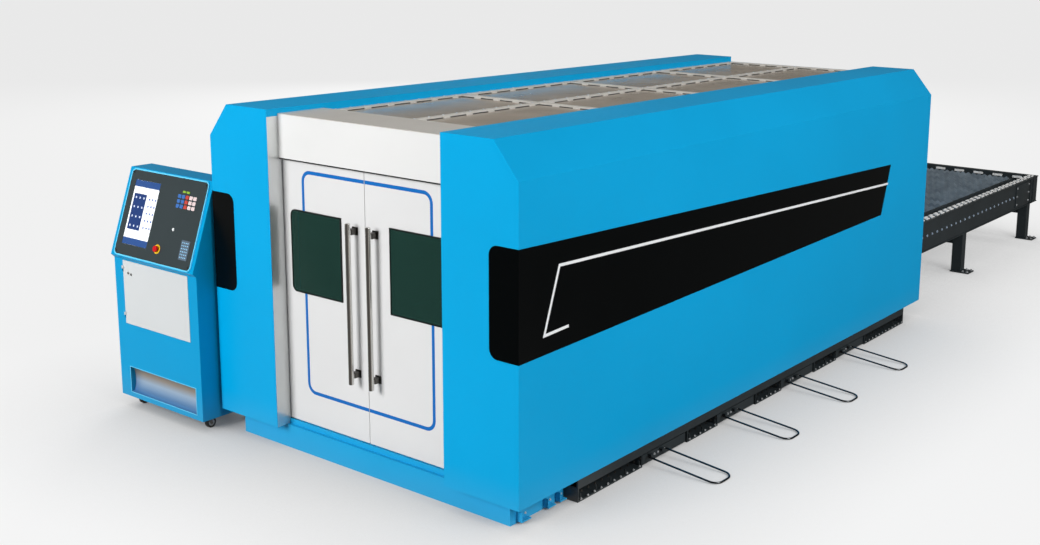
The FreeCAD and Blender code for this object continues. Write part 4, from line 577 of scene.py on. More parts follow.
# Smoked polycarbonate is brown and dusty, and lets a little of the dark inside through.
dress(film("smoked_polycarbonate", "#C2B6A6", 0.2, alpha=0.88, tone=0.6), "roof_panes")
grow("roof_screws", SCREWS, grid(ROOF_COLUMNS, spread(*BAR_SCREWS), BAR_TOP), zinc, "roof_metal",
     Radius=6.5, Height=5.0)
inner = [bar + shift for bar in ROOF_COLUMNS for shift in CLAMP_SHIFTS][1:-1]
grow("roof_clamps", PADS, grid(inner, spread(*BAR_CLAMPS), PANE_TOP), anodised, "roof_metal", LENGTHWISE,
     **CLAMP)
inner = [bar + shift for bar in ROOF_ROWS for shift in CLAMP_SHIFTS][1:-1]
grow("roof_row_clamps", PADS, grid(CLAMP_X, inner, PANE_TOP), anodised, "roof_metal", **CLAMP)
gaskets = []
for low, high in zip(ROOF_ROWS, ROOF_ROWS[1:]):
    for left, right in zip(ROOF_COLUMNS, ROOF_COLUMNS[1:]):
        left, right = left + PANE_INSET, right - PANE_INSET
        front, rear = low + PANE_INSET, high - PANE_INSET
        corners = [(x, y, PANE_TOP) for x, y in ((left, front), (right, front), (right, rear), (left, rear))]
        gaskets.append((corners, GASKET, GASKET_HEIGHT, (0, 0, 1)))
piece("roof_gaskets", drawn(strip, *gaskets, closed=True), gasket_rubber)

# ---- Feet ----
# Welded feet of thick plate in satin graphite paint, with ribs between two rows of zinc-plated
# screws. The paint is rubbed through to grey where sheets and tools touch it.

FOOT_SPANS = ((-2115.0, -1529.0), (-965.0, -649.0), (-85.0, 231.0), (795.0, 1111.0), (1675.0, 2380.0))
FOOT_FACE = 1240.0
FOOT_SCREW = {"Radius": 5.5, "Height": 5.0}
SCREW_HEIGHTS = (16.0, 66.0)
SCREW_PITCH, RIB_PITCH = 62.0, 160.0
RIB = ((1239.0, -17.0, 26.0), (1249.0, -11.0, 56.0), 1.0, 1)


def stove_paint(name, code, rough):
    """Stoving paint on steel: broad changes of tone, and small scuffs where sheets rub it."""
    made, tree, shader, place = material(name)
    broad = add(tree, "ShaderNodeTexNoise", {"Vector": place, "Scale": 4.0, "Detail": 5.0})
    scuffs = add(tree, "ShaderNodeTexNoise", {"Vector": place, "Scale": 45.0, "Detail": 8.0,
                                              "Roughness": 0.75})
    tone = add(tree, "ShaderNodeMix", {0: broad, 6: linear(code, 0.7), 7: linear(code, 1.25)},
               data_type="RGBA")
    rubbed = add(tree, "ShaderNodeMapRange", {"Value": scuffs, "From Min": 0.6, "From Max": 0.72,
                                              "To Max": 0.4})
    mixed = add(tree, "ShaderNodeMix", {0: rubbed, 6: tone, 7: linear("#6E7476")}, data_type="RGBA")
    surface(tree, shader, mixed, (scuffs, rough - 0.1, rough + 0.12), (scuffs, 0.08, 0.001))
    return made


graphite = stove_paint("graphite_stoving_paint", "#2A3134", 0.42)
dress(graphite, "foot_beams", "bed_frames", "table_frame", "table_legs", "upper_pallet", "lower_pallet",
      *[f"drawer_{number}" for number in (1, 2, 3, 4)])
along = [y for span in FOOT_SPANS for y in spread(*span, SCREW_PITCH)]
rib_places = [y for span in FOOT_SPANS for y in spread(*span, RIB_PITCH)]
for side, name in SIDES:
    for row, z, finish in zip(("lower", "upper"), SCREW_HEIGHTS, (zinc, dark_zinc)):
        grow(f"{name}_{row}_foot_screws", SCREWS, grid(side * FOOT_FACE, along, z), finish, "black_paint",
             FACE_SIDE[side], **FOOT_SCREW)
    ribs = drawn(block, *[put(RIB, side, y) for y in rib_places])
    piece(name + "_foot_ribs", ribs, graphite)

# ---- Plinth brackets ----
# The folded plinth under the doors is powder coated like the covers. Angle brackets of 6 mm plate,
# with a rib each and four screws, close it against the first foot on either side.

BRACKETS = ((-2560.0, -2480.0), (-2330.0, -2262.0), (-2222.0, -2162.0))
BRACKET_WALL, PLATE = 1139.0, 6.0
BRACKET_SCREWS = (40.0, 86.0)          # their heights
SCREW_INSETS = (18.0, 12.0)            # from the near and the far end of a bracket
plates = []
for low, high in BRACKETS:             # base, wall and rib
    plates += [((1133.0, low, 12.0), (1175.0, high, 20.0), 1.0, 1),
               ((1133.0, low, 20.0), (BRACKET_WALL, high, 104.0), 1.0, 1),
               ((BRACKET_WALL, low, 20.0), (1173.0, low + PLATE, 70.0), 1.0, 1)]
along = [y for low, high in BRACKETS for y in (low + SCREW_INSETS[0], high - SCREW_INSETS[1])]
for side, name in SIDES:
    brackets = drawn(block, *[put(plate, side) for plate in plates])
    piece(name + "_plinth_brackets", brackets, blue_coat)
    grow(name + "_plinth_screws", SCREWS, grid(side * BRACKET_WALL, along, BRACKET_SCREWS), zinc,
         "blue_paint", FACE_SIDE[side], **FOOT_SCREW)

# ---- Scrap drawers and their pulls ----
# Sheet steel drawers under the cutting bed collect the slag. Each is drawn out by a bail of 12 mm
# bright-drawn bar that lies on the floor and hangs from two welded eyes.

BAY_MIDDLES = (-1359.0, -479.0, 401.0, 1281.0)
BAIL_RADIUS, BAIL_SIDES = 6.0, 16
BAIL = ((1250.0, 47.0, 55.0), (1250.0, 92.0, 55.0), (1747.0, 92.0, 6.3))    # half of it, from a pin
BAIL_BENDS = (0.0, 13.0, 60.0, 60.0, 13.0, 0.0)
DRAWER_FACE, DRAWER_SCREW_HEIGHT = 1233.0, 40.0
DRAWER_SCREWS = (-40.0, 0.0, 40.0)     # from the middle of the bay


def tube(bm, points, radius, sides):
    """Round bar along a line of points."""
    normal = (points[1] - points[0]).orthogonal()
    rings = []
    for before, point, after in zip(points[:1] + points, points, points[1:] + points[-1:]):
        ahead = (after - before).normalized()
        normal = (normal - ahead * normal.dot(ahead)).normalized()
        beside = ahead.cross(normal)
        rings.append([point + radius * (math.cos(turn) * normal + math.sin(turn) * beside)
                      for turn in around(sides)])
    skin(bm, rings)


bright_bar = bare_metal("bright_drawn_bar", "#595B5D", 0.2, pitch=3.0)
for number, middle in enumerate(BAY_MIDDLES, 1):
    corners = [(x, middle + y, z) for x, y, z in BAIL] + [(x, middle - y, z) for x, y, z in BAIL[::-1]]
    line = rounded(corners, *BAIL_BENDS)
    bail = piece(f"pull_bail_{number}", drawn(tube, (line, BAIL_RADIUS, BAIL_SIDES)), bright_bar,
                 body=f"pull_{number}", sharp=50.0)
    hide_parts(f"drawer_pull_{number}")
    heads = grid(DRAWER_FACE, [middle + y for y in DRAWER_SCREWS], DRAWER_SCREW_HEIGHT)
    grow(f"drawer_screws_{number}", SCREWS, heads, zinc, "black_paint", FACE_SIDE[1],
         f"drawer_{number}_body", Radius=6.0, Height=5.0)

# ---- Exchange table ----
# Welded box-section beams on two pairs of legs, painted graphite. White cast nylon pads along the
# top and on the end rail guide the pallets; a bolted fishplate joins each beam near its far end.

TABLE_PLATES = (((989.0, 5900.0, 424.0), (998.0, 6330.0, 668.0), 1.5),       # fishplate
                ((989.0, 2698.0, 402.0), (1000.0, 6606.0, 410.0), 1.0, 1),   # lower flange
                ((989.0, 2698.0, 682.0), (1000.0, 6606.0, 690.0), 1.0, 1),   # upper flange
                ((989.0, 6360.0, 412.0), (1002.0, 6368.0, 680.0), 1.0, 1),   # ribs over the far legs
                ((989.0, 6452.0, 412.0), (1002.0, 6460.0, 680.0), 1.0, 1))
TABLE_TOP = 690.0
GUIDE_ROWS = ((924.0, 2750.0), (962.0, 2809.0))    # across, and where the row starts
GUIDE_END, GUIDE_PITCH = 6500.0, 118.0
END_PADS = (-787.5, 787.5, 225.0)
END_PAD_FACE, END_PAD_HEIGHT = 6530.0, 662.0
# Where the screws of one side are: across, along and up.
WEB_SCREWS = (990.0, spread(2760.0, 5840.0, GUIDE_PITCH), 545.0)
SPLICE_SCREWS = (998.0, (5930.0, 6300.0), (456.0, 546.0, 636.0))
ANCHORS = ((1000.0, 1046.0), (4425.0, 4535.0, 6355.0, 6465.0), 12.0)
# Cast nylon is chalk white and half matt; passivated zinc has a cool blue cast.
nylon = film("white_cast_nylon", "#FAFAF8", 0.35, tone=0.95)
cool_zinc = bare_metal("blue_passivated_zinc", "#B9C9DB", 0.3, metallic=0.3)
pads = [place for x, start in GUIDE_ROWS
        for place in grid((-x, x), spread(start, GUIDE_END, GUIDE_PITCH), TABLE_TOP)]
grow("table_wear_pads", PADS, pads, nylon, "black_paint", LENGTHWISE,
     Length=70.0, Width=20.0, Height=9.0, Corner=4.0)
grow("table_end_pads", PADS, grid(spread(*END_PADS), END_PAD_FACE, END_PAD_HEIGHT), nylon, "black_paint",
     FACE_FRONT, Length=110.0, Width=24.0, Height=10.0, Corner=5.0)
for side, name in SIDES:
    plates = drawn(block, *[put(plate, side) for plate in TABLE_PLATES])
    piece(name + "_table_flanges", plates, graphite)
    for kind, (x, y, z), finish, turn, radius, height in (
            ("web_screws", WEB_SCREWS, cool_zinc, FACE_SIDE[side], 9.5, 6.0),
            ("splice_screws", SPLICE_SCREWS, zinc, FACE_SIDE[side], 9.0, 7.0),
            ("leg_anchors", ANCHORS, zinc, FACE_UP, 9.0, 12.0)):
        heads = [(side * across, along, up) for across, along, up in grid(x, y, z)]
        grow(f"{name}_{kind}", SCREWS, heads, finish, "black_paint", turn, Radius=radius, Height=height)

# ---- Pallet drive ----
# Two strands of roller chain pull the pallets along. A geared motor at the far end turns the shaft
# that joins their sprockets; its black-painted housing has cooling fins all round.

CHAIN_X, CHAIN_LEVELS = (-826.0, 826.0), (355.0, 415.0)
CHAIN_SPAN = (-2050.0, 6245.0)
LINK = {"Pitch": 50.8, "Plate": 22.0, "Roller": 8.0, "Width": 14.0}
LINK_PLATE = 2.0           # thickness
MOTOR_Y = 6270.0
FIN_RADII = (47.0, 57.0)
FINS, FIN_ENDS = (112.0, 300.0, 16.0), (108.0, 312.0)
TERMINAL_BOX = ((-30.0, 6178.0, 190.0), (30.0, 6226.0, 262.0), 4.0)
GEARBOX_SCREWS = ((-46.0, 46.0), (6224.0, 6316.0), 439.0)


def link_tree():
    """Chain link: two long plates with a roller between them, along X of its point."""
    tree, given, end = new_group("chain_links", LINK)
    long = add(tree, "ShaderNodeMath", {0: given["Pitch"], 1: given["Plate"]}, operation="ADD")
    corner = add(tree, "ShaderNodeMath", {0: given["Plate"], 1: 0.49}, operation="MULTIPLY")
    plate = round_plate(tree, long, given["Plate"], corner, LINK_PLATE)
    above = add(tree, "ShaderNodeMath", {0: given["Width"], 1: 0.5}, operation="MULTIPLY")
    below = add(tree, "ShaderNodeMath", {0: above, 1: -1.0}, operation="MULTIPLY")
    roller = add(tree, "GeometryNodeMeshCylinder", {"Vertices": 10, "Radius": given["Roller"],
                                                    "Depth": given["Width"]})
    parts = [moved(tree, plate, above), moved(tree, plate, below), roller]
    return repeat(tree, given, end, add(tree, "GeometryNodeJoinGeometry", {0: parts}))


oiled_steel = bare_metal("oiled_chain_steel", "#5E6062", 0.34, pitch=4.0)
dress(oiled_steel, "drive_chains", "drive_shaft", "pallet_rails")
links = grid(CHAIN_X, spread(*CHAIN_SPAN, LINK["Pitch"]), CHAIN_LEVELS)
grow("chain_links", link_tree(), links, oiled_steel, "dark_steel", FACE_SIDE[1], **LINK)
motor_paint = stove_paint("motor_black_paint", "#141517", 0.4)
dress(motor_paint, "table_gearmotor", "gantry_motors", "lift_motor")
inner, outer = FIN_RADII
fins = [(inner, FIN_ENDS[0])]
for z in spread(*FINS):
    fins += [(inner, z), (outer, z + 1), (outer, z + 4), (inner, z + 5)]
housing = drawn(lathe, (fins + [(inner, FIN_ENDS[1])], (0, MOTOR_Y, 0)), sides=32)
block(housing, *TERMINAL_BOX)
piece("gearmotor_fins", housing, motor_paint)
grow("gearbox_screws", SCREWS, grid(*GEARBOX_SCREWS), zinc, "motor_black", Radius=6.0, Height=5.0)

# ---- Pallets ----
# Each pallet carries a bed of serrated mild-steel slats that stand in the notched side combs and
# are cut and scorched by use. Their teeth touch the sheet at as few points as possible.

PALLETS = (("upper", 3195.0, 650.3), ("lower", -1605.0, 505.3))    # first slat, and foot of the slats
SLAT_COUNT, SLAT_PITCH = 20, 150.0
SLAT = {"Length": 1716.0, "Height": 85.0, "Thickness": 6.0, "Tooth": 20.0, "Teeth": 28}
COMB_FACE = 900.0
COMB_SCREW_DROP = 8.0      # foot of a slat to the screw beside it


def slat_tree():
    """Upright strip along X with pointed teeth on its upper edge, its foot on its point."""
    tree, given, end = new_group("serrated_slats", SLAT)
    columns = add(tree, "ShaderNodeMath", {0: given["Teeth"], 1: 2.0, 2: 1.0}, operation="MULTIPLY_ADD")
    sheet = add(tree, "GeometryNodeMeshGrid", {"Size X": given["Length"], "Size Y": given["Height"],
                                               "Vertices X": columns, "Vertices Y": 2})
    # The grid counts its points up each column, so the odd ones are the upper edge.
    index = add(tree, "GeometryNodeInputIndex")
    half = add(tree, "ShaderNodeMath", {0: index, 1: 0.5}, operation="MULTIPLY")
    column = add(tree, "ShaderNodeMath", {0: half}, operation="FLOOR")
    upper = add(tree, "ShaderNodeMath", {0: index, 1: 2.0}, operation="MODULO")
    tip = add(tree, "ShaderNodeMath", {0: column, 1: 2.0}, operation="MODULO")
    valley = add(tree, "ShaderNodeMath", {0: 1.0, 1: tip}, operation="SUBTRACT")
    drop = add(tree, "ShaderNodeMath", {0: valley, 1: upper}, operation="MULTIPLY")
    depth = add(tree, "ShaderNodeMath", {0: given["Tooth"], 1: -1.0}, operation="MULTIPLY")
    down = add(tree, "ShaderNodeMath", {0: drop, 1: depth}, operation="MULTIPLY")
    shift = add(tree, "ShaderNodeCombineXYZ", {"Y": down})
    toothed = add(tree, "GeometryNodeSetPosition", {"Geometry": sheet, "Offset": shift})
    plate = shell(tree, toothed, given["Thickness"], Individual=False)
    rise = add(tree, "ShaderNodeMath", {0: given["Height"], 1: 0.5}, operation="MULTIPLY")
    centre = add(tree, "ShaderNodeMath", {0: given["Thickness"], 1: -0.5}, operation="MULTIPLY")
    stand = add(tree, "ShaderNodeCombineXYZ", {"Y": rise, "Z": centre})
    placed = add(tree, "GeometryNodeTransform", {"Geometry": plate, "Translation": stand})
    return repeat(tree, given, end, placed)


def ramp(tree, level, codes):
    """Colour by level, from one hex value to the next; the levels 0 and 1 are the ramp's own ends."""
    made = add(tree, "ShaderNodeValToRGB", {"Fac": level})
    stops = made.color_ramp.elements
    for at, code in codes.items():
        stop = stops.new(at) if 0.0 < at < 1.0 else stops[-int(at)]
        stop.color = linear(code)
    return made


def scorched_steel():
    """Hot-rolled steel: mill scale, brighter where it is rubbed, browned and spattered by cutting."""
    made, tree, shader, place = material("scorched_slat_steel")
    broad = add(tree, "ShaderNodeTexNoise", {"Vector": place, "Scale": 7.0, "Detail": 5.0})
    # Spatter lies in drops of 1 to 5 mm, some 17 mm apart.
    spatter = add(tree, "ShaderNodeTexVoronoi", {"Vector": place, "Scale": 60.0})
    tone = ramp(tree, broad, {0.0: "#59636A", 0.52: "#97A2AA", 1.0: "#CCD8E2"})
    drops = add(tree, "ShaderNodeMapRange", {"Value": spatter, "From Min": 0.05, "From Max": 0.2,
                                             "To Min": 0.7, "To Max": 0.0})
    mixed = add(tree, "ShaderNodeMix", {0: drops, 6: tone, 7: linear("#1E1C1A")}, data_type="RGBA")
    bump = add(tree, "ShaderNodeBump", {"Height": spatter, "Strength": 0.2, "Distance": 0.001})
    feed(tree, shader, {"Base Color": mixed, "Normal": bump, "Metallic": 0.35, "Roughness": 0.5})
    return made


SLATS = slat_tree()
scorched = scorched_steel()
dress(scorched, "scrap_chutes")
for level, first, foot in PALLETS:
    rows = [first + SLAT_PITCH * at for at in range(SLAT_COUNT)]
    bed = grow(level + "_serrated_slats", SLATS, grid(0.0, rows, foot), scorched, "dark_steel", FACE_FRONT,
               level + "_table", **SLAT)
    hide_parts(level + "_slats")
    for side, name in SIDES:
        heads = grid(side * COMB_FACE, rows, foot - COMB_SCREW_DROP)
        grow(f"{level}_{name}_comb_screws", SCREWS, heads, zinc, "black_paint", FACE_SIDE[side],
             level + "_table", Radius=6.0, Height=3.0)

# ---- Gantry and cutting head ----
# An extruded aluminium beam runs on ground rails beside helical racks, driven by a black servo
# motor at each end. The head has a copper nozzle under a white ceramic ring.

BEAM_SCREWS = (spread(-1090.0, 1090.0, 180.0), (1514.0, 1686.0), 1165.3)
END_PLATE_SCREWS = ((-1158.0, 1158.0), spread(1380.0, 1820.0, 110.0), 945.3)
END_RIB = ((1149.0, -5.0, 944.8), (1170.0, 5.0, 1125.3), 1.5)
END_RIB_PLACES = (1520.0, 1600.0, 1680.0)
HEAD_X, HEAD_Y = -760.0, 1357.4
NOZZLE_FEET, RING_FEET, COLLAR_FEET = (898.8,), (929.5,), (968.0, 994.0, 1094.0)
NOZZLE = ((0, -0.5), (2.6, -0.5), (6.5, 8), (13, 18), (13, 24), (15, 25), (15, 31), (0, 31))
RING = ((0, 0), (22, 0), (24, 3), (24, 15), (22, 18), (0, 18))
COLLAR = ((0, 0), (43.5, 0), (45, 2), (45, 8), (43.5, 10), (0, 10))
# Ground steel is fine-lined and bright; machined aluminium is whiter, with coarser tool marks.
dress(bare_metal("ground_rail_steel", "#C4C8CC", 0.22, grain=1, pitch=1.5), "y_guides")
dress(bare_metal("ground_cross_rail_steel", "#C4C8CC", 0.22, grain=0, pitch=1.5), "x_rails")
machined = bare_metal("machined_aluminium", "#BFC3C7", 0.34, grain=0, pitch=2.0)
dress(machined, "gantry_beam", "gantry_ends", "x_carriage", "lift_slide", "cutting_head")
for name, places in (("beam_screws", BEAM_SCREWS), ("end_plate_screws", END_PLATE_SCREWS)):
    grow(name, SCREWS, grid(*places), zinc, "gantry_metal", body="gantry", Radius=7.0, Height=6.0)
ribs = [put(END_RIB, side, y) for side in (-1, 1) for y in END_RIB_PLACES]
piece("beam_end_ribs", drawn(block, *ribs), machined, body="gantry")
# Copper keeps a warm shine near the cut, the ceramic ring is chalk white, the collars are blackened.
copper = bare_metal("nozzle_copper", "#B87448", 0.25, pitch=1.0)
ceramic = film("alumina_ceramic", "#EFEDE6", 0.4)
for name, profile, feet, finish in (("copper_nozzle", NOZZLE, NOZZLE_FEET, copper),
                                    ("ceramic_ring", RING, RING_FEET, ceramic),
                                    ("head_collars", COLLAR, COLLAR_FEET, dark_zinc)):
    turned = drawn(lathe, *[(profile, (HEAD_X, HEAD_Y, foot)) for foot in feet])
    piece(name, turned, finish, body="lift")

# ---- Service doors and vents ----
# The far side and the rear have hinged service doors of the same coated sheet, with pressed louvres,
# barrel hinges and quarter-turn latches. The rear port has a brush strip round it.

LEFT_FACE, REAR_FACE = -1260.0, 2690.0
DOOR_PROUD, DOOR_BEVEL = 14.0, 4.0
LATCH_INSET = 40.0
LOUVRE_PITCH = 28.0
HINGE = ((0, 0), (6, 0), (7, 1), (7, 59), (6, 60), (0, 60))
LATCH = ((0, 0), (13, 0), (13, 4), (10, 6), (0, 6))
OUT_LEFT, OUT_REAR = [Matrix.Rotation(-QUARTER, 4, axis) for axis in "YX"]
BRUSH = [(x, REAR_FACE, z) for x, z in ((-923.0, 340.0), (-923.0, 802.0), (923.0, 802.0), (923.0, 340.0))]
BRUSH_WIDTH, BRUSH_HEIGHT = 22.0, 4.0
WALL_SCREWS = ((-1225.0, 1225.0), REAR_FACE, spread(200.0, 1900.0, 170.0))
TOP_SCREWS = (spread(-660.0, 660.0, 165.0), REAR_FACE, 2080.0)
REAR_SCREW = {"Radius": 6.0, "Height": 4.0}


def service_doors(name, at, doors, heights, barrel, hinges, latches, vents, vent_length, face, turn):
    """Doors in one wall, each from its hinged to its free edge; at puts along, out and up in place."""
    leaves, barrels, knobs, louvres = [], [], [], []
    for hinged, free in doors:
        inward = math.copysign(1.0, free - hinged)
        leaves.append((at(hinged, 0.0, heights[0]), at(free, DOOR_PROUD, heights[1]), DOOR_BEVEL))
        barrels += [(HINGE, at(hinged - inward * barrel[0], barrel[1], z)) for z in hinges]
        knobs += [(LATCH, at(free - inward * LATCH_INSET, DOOR_PROUD, z), turn) for z in latches]
        louvres += [at((hinged + free) / 2, DOOR_PROUD, z) for z in spread(*vents, LOUVRE_PITCH)]
    for kind, bm, finish in (("doors", drawn(block, *leaves), blue_coat),
                             ("hinges", drawn(lathe, *barrels, sides=20), dark_zinc),
                             ("latches", drawn(lathe, *knobs, sides=24), chrome)):
        piece(f"{name}_service_{kind}", bm, finish)
    grow(name + "_louvres", PADS, louvres, blue_coat, "blue_paint", face,
         Length=vent_length, Width=13.0, Height=6.0, Corner=6.0)


service_doors("left", lambda along, out, up: (LEFT_FACE - out, along, up),
              doors=((-2150.0, -1300.0), (-1270.0, -420.0), (-390.0, 460.0)), heights=(230.0, 900.0),
              barrel=(9.0, 9.0), hinges=(320.0, 770.0), latches=(380.0, 760.0),
              vents=(680.0, 850.0), vent_length=520.0, face=FACE_SIDE[-1], turn=OUT_LEFT)
service_doors("rear", lambda along, out, up: (along, REAR_FACE + out, up),
              doors=((-760.0, -12.0), (760.0, 12.0)), heights=(960.0, 1780.0),
              barrel=(9.12, 8.0), hinges=(1050.0, 1630.0), latches=(1150.0, 1560.0),
              vents=(1560.0, 1730.0), vent_length=460.0, face=FACE_REAR, turn=OUT_REAR)
brush = drawn(strip, (BRUSH, BRUSH_WIDTH, BRUSH_HEIGHT, (0, 1, 0)))
piece("port_brush_strip", brush, gasket_rubber)
grow("rear_wall_screws", SCREWS, grid(*WALL_SCREWS) + grid(*TOP_SCREWS), zinc, "blue_paint",
     (-QUARTER, 0.0, 0.0), **REAR_SCREW)

# ---- Duct collar ----
# A rolled collar on the far side takes the hose of the fume extractor; a rolled bead keeps the hose
# from slipping off. Eight screws hold its zinc-plated flange to the cover.

DUCT_END, DUCT_Y, DUCT_Z = -1320.0, 1900.0, 480.0
BORE = 100.2               # radius, just clear of the collar
BEAD = ((BORE, 12), (104.0, 15), (105.0, 18), (104.0, 21), (BORE, 24))
FLANGE = ((BORE, 0), (142.0, 0), (142.0, 3), (BORE, 3))
BOLTS, BOLT_CIRCLE = 8, 126.0
for name, profile, x, turn in (("duct_bead", BEAD, DUCT_END, Matrix.Rotation(QUARTER, 4, "Y")),
                               ("duct_flange", FLANGE, LEFT_FACE, OUT_LEFT)):
    piece(name, drawn(lathe, (profile, (x, DUCT_Y, DUCT_Z), turn), ring=True), zinc)
heads = [(LEFT_FACE - FLANGE[2][1], DUCT_Y + BOLT_CIRCLE * math.cos(turned),
          DUCT_Z + BOLT_CIRCLE * math.sin(turned)) for turned in around(BOLTS)]
grow("duct_screws", SCREWS, heads, zinc, "blue_paint", (0.0, -QUARTER, 0.0), **REAR_SCREW)

# ---- Console cabinet ----
# A separate coated steel cabinet with a leaning control head, a shade deeper than the covers: the covers'
# blue painted darker, as painted shade. A lighter blue extruded trim runs round the control panel, and
# louvres let the warm air out; the trim's lighter blue is partly a painted highlight along its edges.

CONSOLE_FRONT = -2820.0
PANEL_CORNER, PANEL_LEAN = (-2180.0, -2845.0, 1070.0), math.radians(18.6)
ON_PANEL = Matrix.Translation(PANEL_CORNER) @ Matrix.Rotation(-PANEL_LEAN, 4, "X")
FACE_PANEL = (QUARTER - PANEL_LEAN, 0.0, 0.0)
TRIM_X, TRIM_Z = (35.0, 855.0), (10.0, 590.0)
TRIM_RADIUS, TRIM_WIDTH, TRIM_HEIGHT = 34.0, 9.0, 6.0
SIDE_VENTS = (-2510.0, spread(170.0, 310.0, LOUVRE_PITCH))
BACK_FACE = -2310.0        # of the service door
BACK_DOOR = ((-2120.0, -2320.0, 150.0), (-1350.0, BACK_FACE, 1180.0), 3.0)
BACK_VENTS = (-1735.0, BACK_FACE, spread(900.0, 1100.0, LOUVRE_PITCH) + spread(230.0, 430.0, LOUVRE_PITCH))
BACK_LATCH = ((0, 0), (12, 0), (12, 4), (9, 6), (0, 6))
BACK_LATCHES = (-1400.0, BACK_FACE, (300.0, 960.0))
# The console's coat is the covers' blue painted darker: painted shade.
shaded_console_coat = powder_coat("console_blue_coat_painted_shade", "#0094C8", 0.38)
dress(shaded_console_coat, "console_body")
# The trim's lighter blue is partly its own colour and partly a painted highlight along the edges of the
# panel and the niche.
trim_and_highlight_blue = powder_coat("light_blue_trim_and_highlight", "#63C6EA", 0.3)
line = rounded(upright(TRIM_X, TRIM_Z, 0.0), TRIM_RADIUS, closed=True)
trim = drawn(strip, (line, TRIM_WIDTH, TRIM_HEIGHT, TOWARDS_FRONT), closed=True)
piece("panel_trim", trim, trim_and_highlight_blue, ON_PANEL)
for name, places, turn, length in (("right", (-1290.0, *SIDE_VENTS), FACE_SIDE[1], 220.0),
                                   ("left", (-2180.0, *SIDE_VENTS), FACE_SIDE[-1], 220.0),
                                   ("back", BACK_VENTS, FACE_REAR, 420.0)):
    grow(f"console_{name}_louvres", PADS, grid(*places), shaded_console_coat, "blue_paint", turn,
         Length=length, Width=12.0, Height=5.0, Corner=5.5)
piece("console_back_door", drawn(block, BACK_DOOR), shaded_console_coat)
knobs = [(BACK_LATCH, place, OUT_REAR) for place in grid(*BACK_LATCHES)]
piece("console_back_latches", drawn(lathe, *knobs, sides=24), chrome)

# ---- Console niche ----
# A curved tray of polished stainless steel lines the recess under the door, where the feet go. A thin
# extruded edge in the trim's light blue runs round it; its light blue is a painted highlight of the recess's
# folded edge.

NICHE_X, NICHE_Z = (-2070.0, -1350.0), (120.0, 300.0)
TRAY_X = (-2068.0, -1352.0)
TRAY_FRONT, TRAY_DEPTH = -2819.0, 34.0
TRAY_MIDDLE, TRAY_HALF = 210.0, 87.5
TRAY_CURVE = 0.6           # below 1, the back of the tray is flatter than a half ellipse
TRAY_STEPS = 12
TRAY_THICKNESS = 1.5
EDGE_WIDTH, EDGE_HEIGHT = 5.0, 1.5
# The tray's colour by height is painted light: a painted reflection of the blue paint below, paling upwards,
# then painted shade, brown and darkest at the top under the cabinet.
# Its brushing lies across, drawn 1.4 mm apart.
tray_steel, tree, shader, place = material("polished_stainless_tray")
height = add(tree, "ShaderNodeSeparateXYZ", {0: place}).outputs["Z"]
level = add(tree, "ShaderNodeMapRange", {"Value": height, "From Min": NICHE_Z[0] * MM,
                                         "From Max": NICHE_Z[1] * MM})
brushed = add(tree, "ShaderNodeMapping", {"Vector": place, "Scale": (4.0, 700.0, 700.0)})
lines = add(tree, "ShaderNodeTexNoise", {"Vector": brushed, "Scale": 1.0, "Detail": 3.0})
# Painted reflection at the bottom and painted shade at the top, set by height.
painted_reflection_and_shade = ramp(tree, level, {0.0: "#4F8FCC", 0.45: "#A9C2DB", 0.72: "#9E958B", 1.0: "#6F665E"})
sheen = add(tree, "ShaderNodeMapRange", {"Value": lines, "To Min": 0.22, "To Max": 0.42})
feed(tree, shader, {"Base Color": painted_reflection_and_shade, "Roughness": sheen, "Metallic": 0.5})
rings = []
for turned in around(2 * TRAY_STEPS)[:TRAY_STEPS + 1]:
    y = TRAY_FRONT + TRAY_DEPTH * max(0.0, math.sin(turned)) ** TRAY_CURVE
    z = TRAY_MIDDLE - TRAY_HALF * math.cos(turned)
    rings.append([(TRAY_X[0], y, z), (TRAY_X[1], y, z), (TRAY_X[1], y + TRAY_THICKNESS, z),
                  (TRAY_X[0], y + TRAY_THICKNESS, z)])
piece("niche_tray", drawn(skin, (rings,)), tray_steel, sharp=60.0)
line = (upright(NICHE_X, NICHE_Z, CONSOLE_FRONT), EDGE_WIDTH, EDGE_HEIGHT, TOWARDS_FRONT)
piece("niche_edge_highlight", drawn(strip, line, closed=True), trim_and_highlight_blue)

# ---- Console panel ----
# A graphite polyester front film with a touch screen on the left, a cluster of coloured keys at the
# upper right, a pilot lamp, and a grey-blue field of indicator lamps at the lower right.

PANEL_FACE, SCREEN_FACE = -5.0, -3.0
SUNK, LAYER = 0.2, 0.5     # a lit field reaches this far into what carries it, and out of it
BARS = [((96.5, SCREEN_FACE - LAYER, low), (367.5, SCREEN_FACE + SUNK, low + 44.0), 0.0, 1)
        for low in (89.5, 477.5)]
DRAWING = ((112.0, SCREEN_FACE - LAYER, 190.0), (246.0, SCREEN_FACE + SUNK, 432.0), 0.0, 1)
LAMP_FIELD = ((716.0, PANEL_FACE - 2.0, 72.0), (802.0, PANEL_FACE + SUNK, 198.0), 0.8, 1)
KEY_X, KEY_Z = (592.0, 632.0, 672.0, 712.0, 752.0), (404.0, 436.0, 468.0)
ICON, LAMP = (13.0, 13.0, 0.4, 3.0), (8.0, 8.0, 1.6, 3.9)     # length, width, height and corner
KEY, SMALL_KEY = (32.0, 24.0, 3.0, 5.0), (32.0, 14.0, 3.0, 5.0)
PILOT_PLACE, STOP_PLACE = (604.0, PANEL_FACE, 250.0), (484.0, PANEL_FACE, 103.0)
STOP_RIM_PLACE = (484.0, PANEL_FACE - 11.0, 103.0)
PILOT = ((0, 0), (11, 0), (11, 3), (9, 5), (0, 5))
STOP_PLATE = ((12, 0), (31, 0), (31, 1.2), (30, 1.8), (12, 1.8))
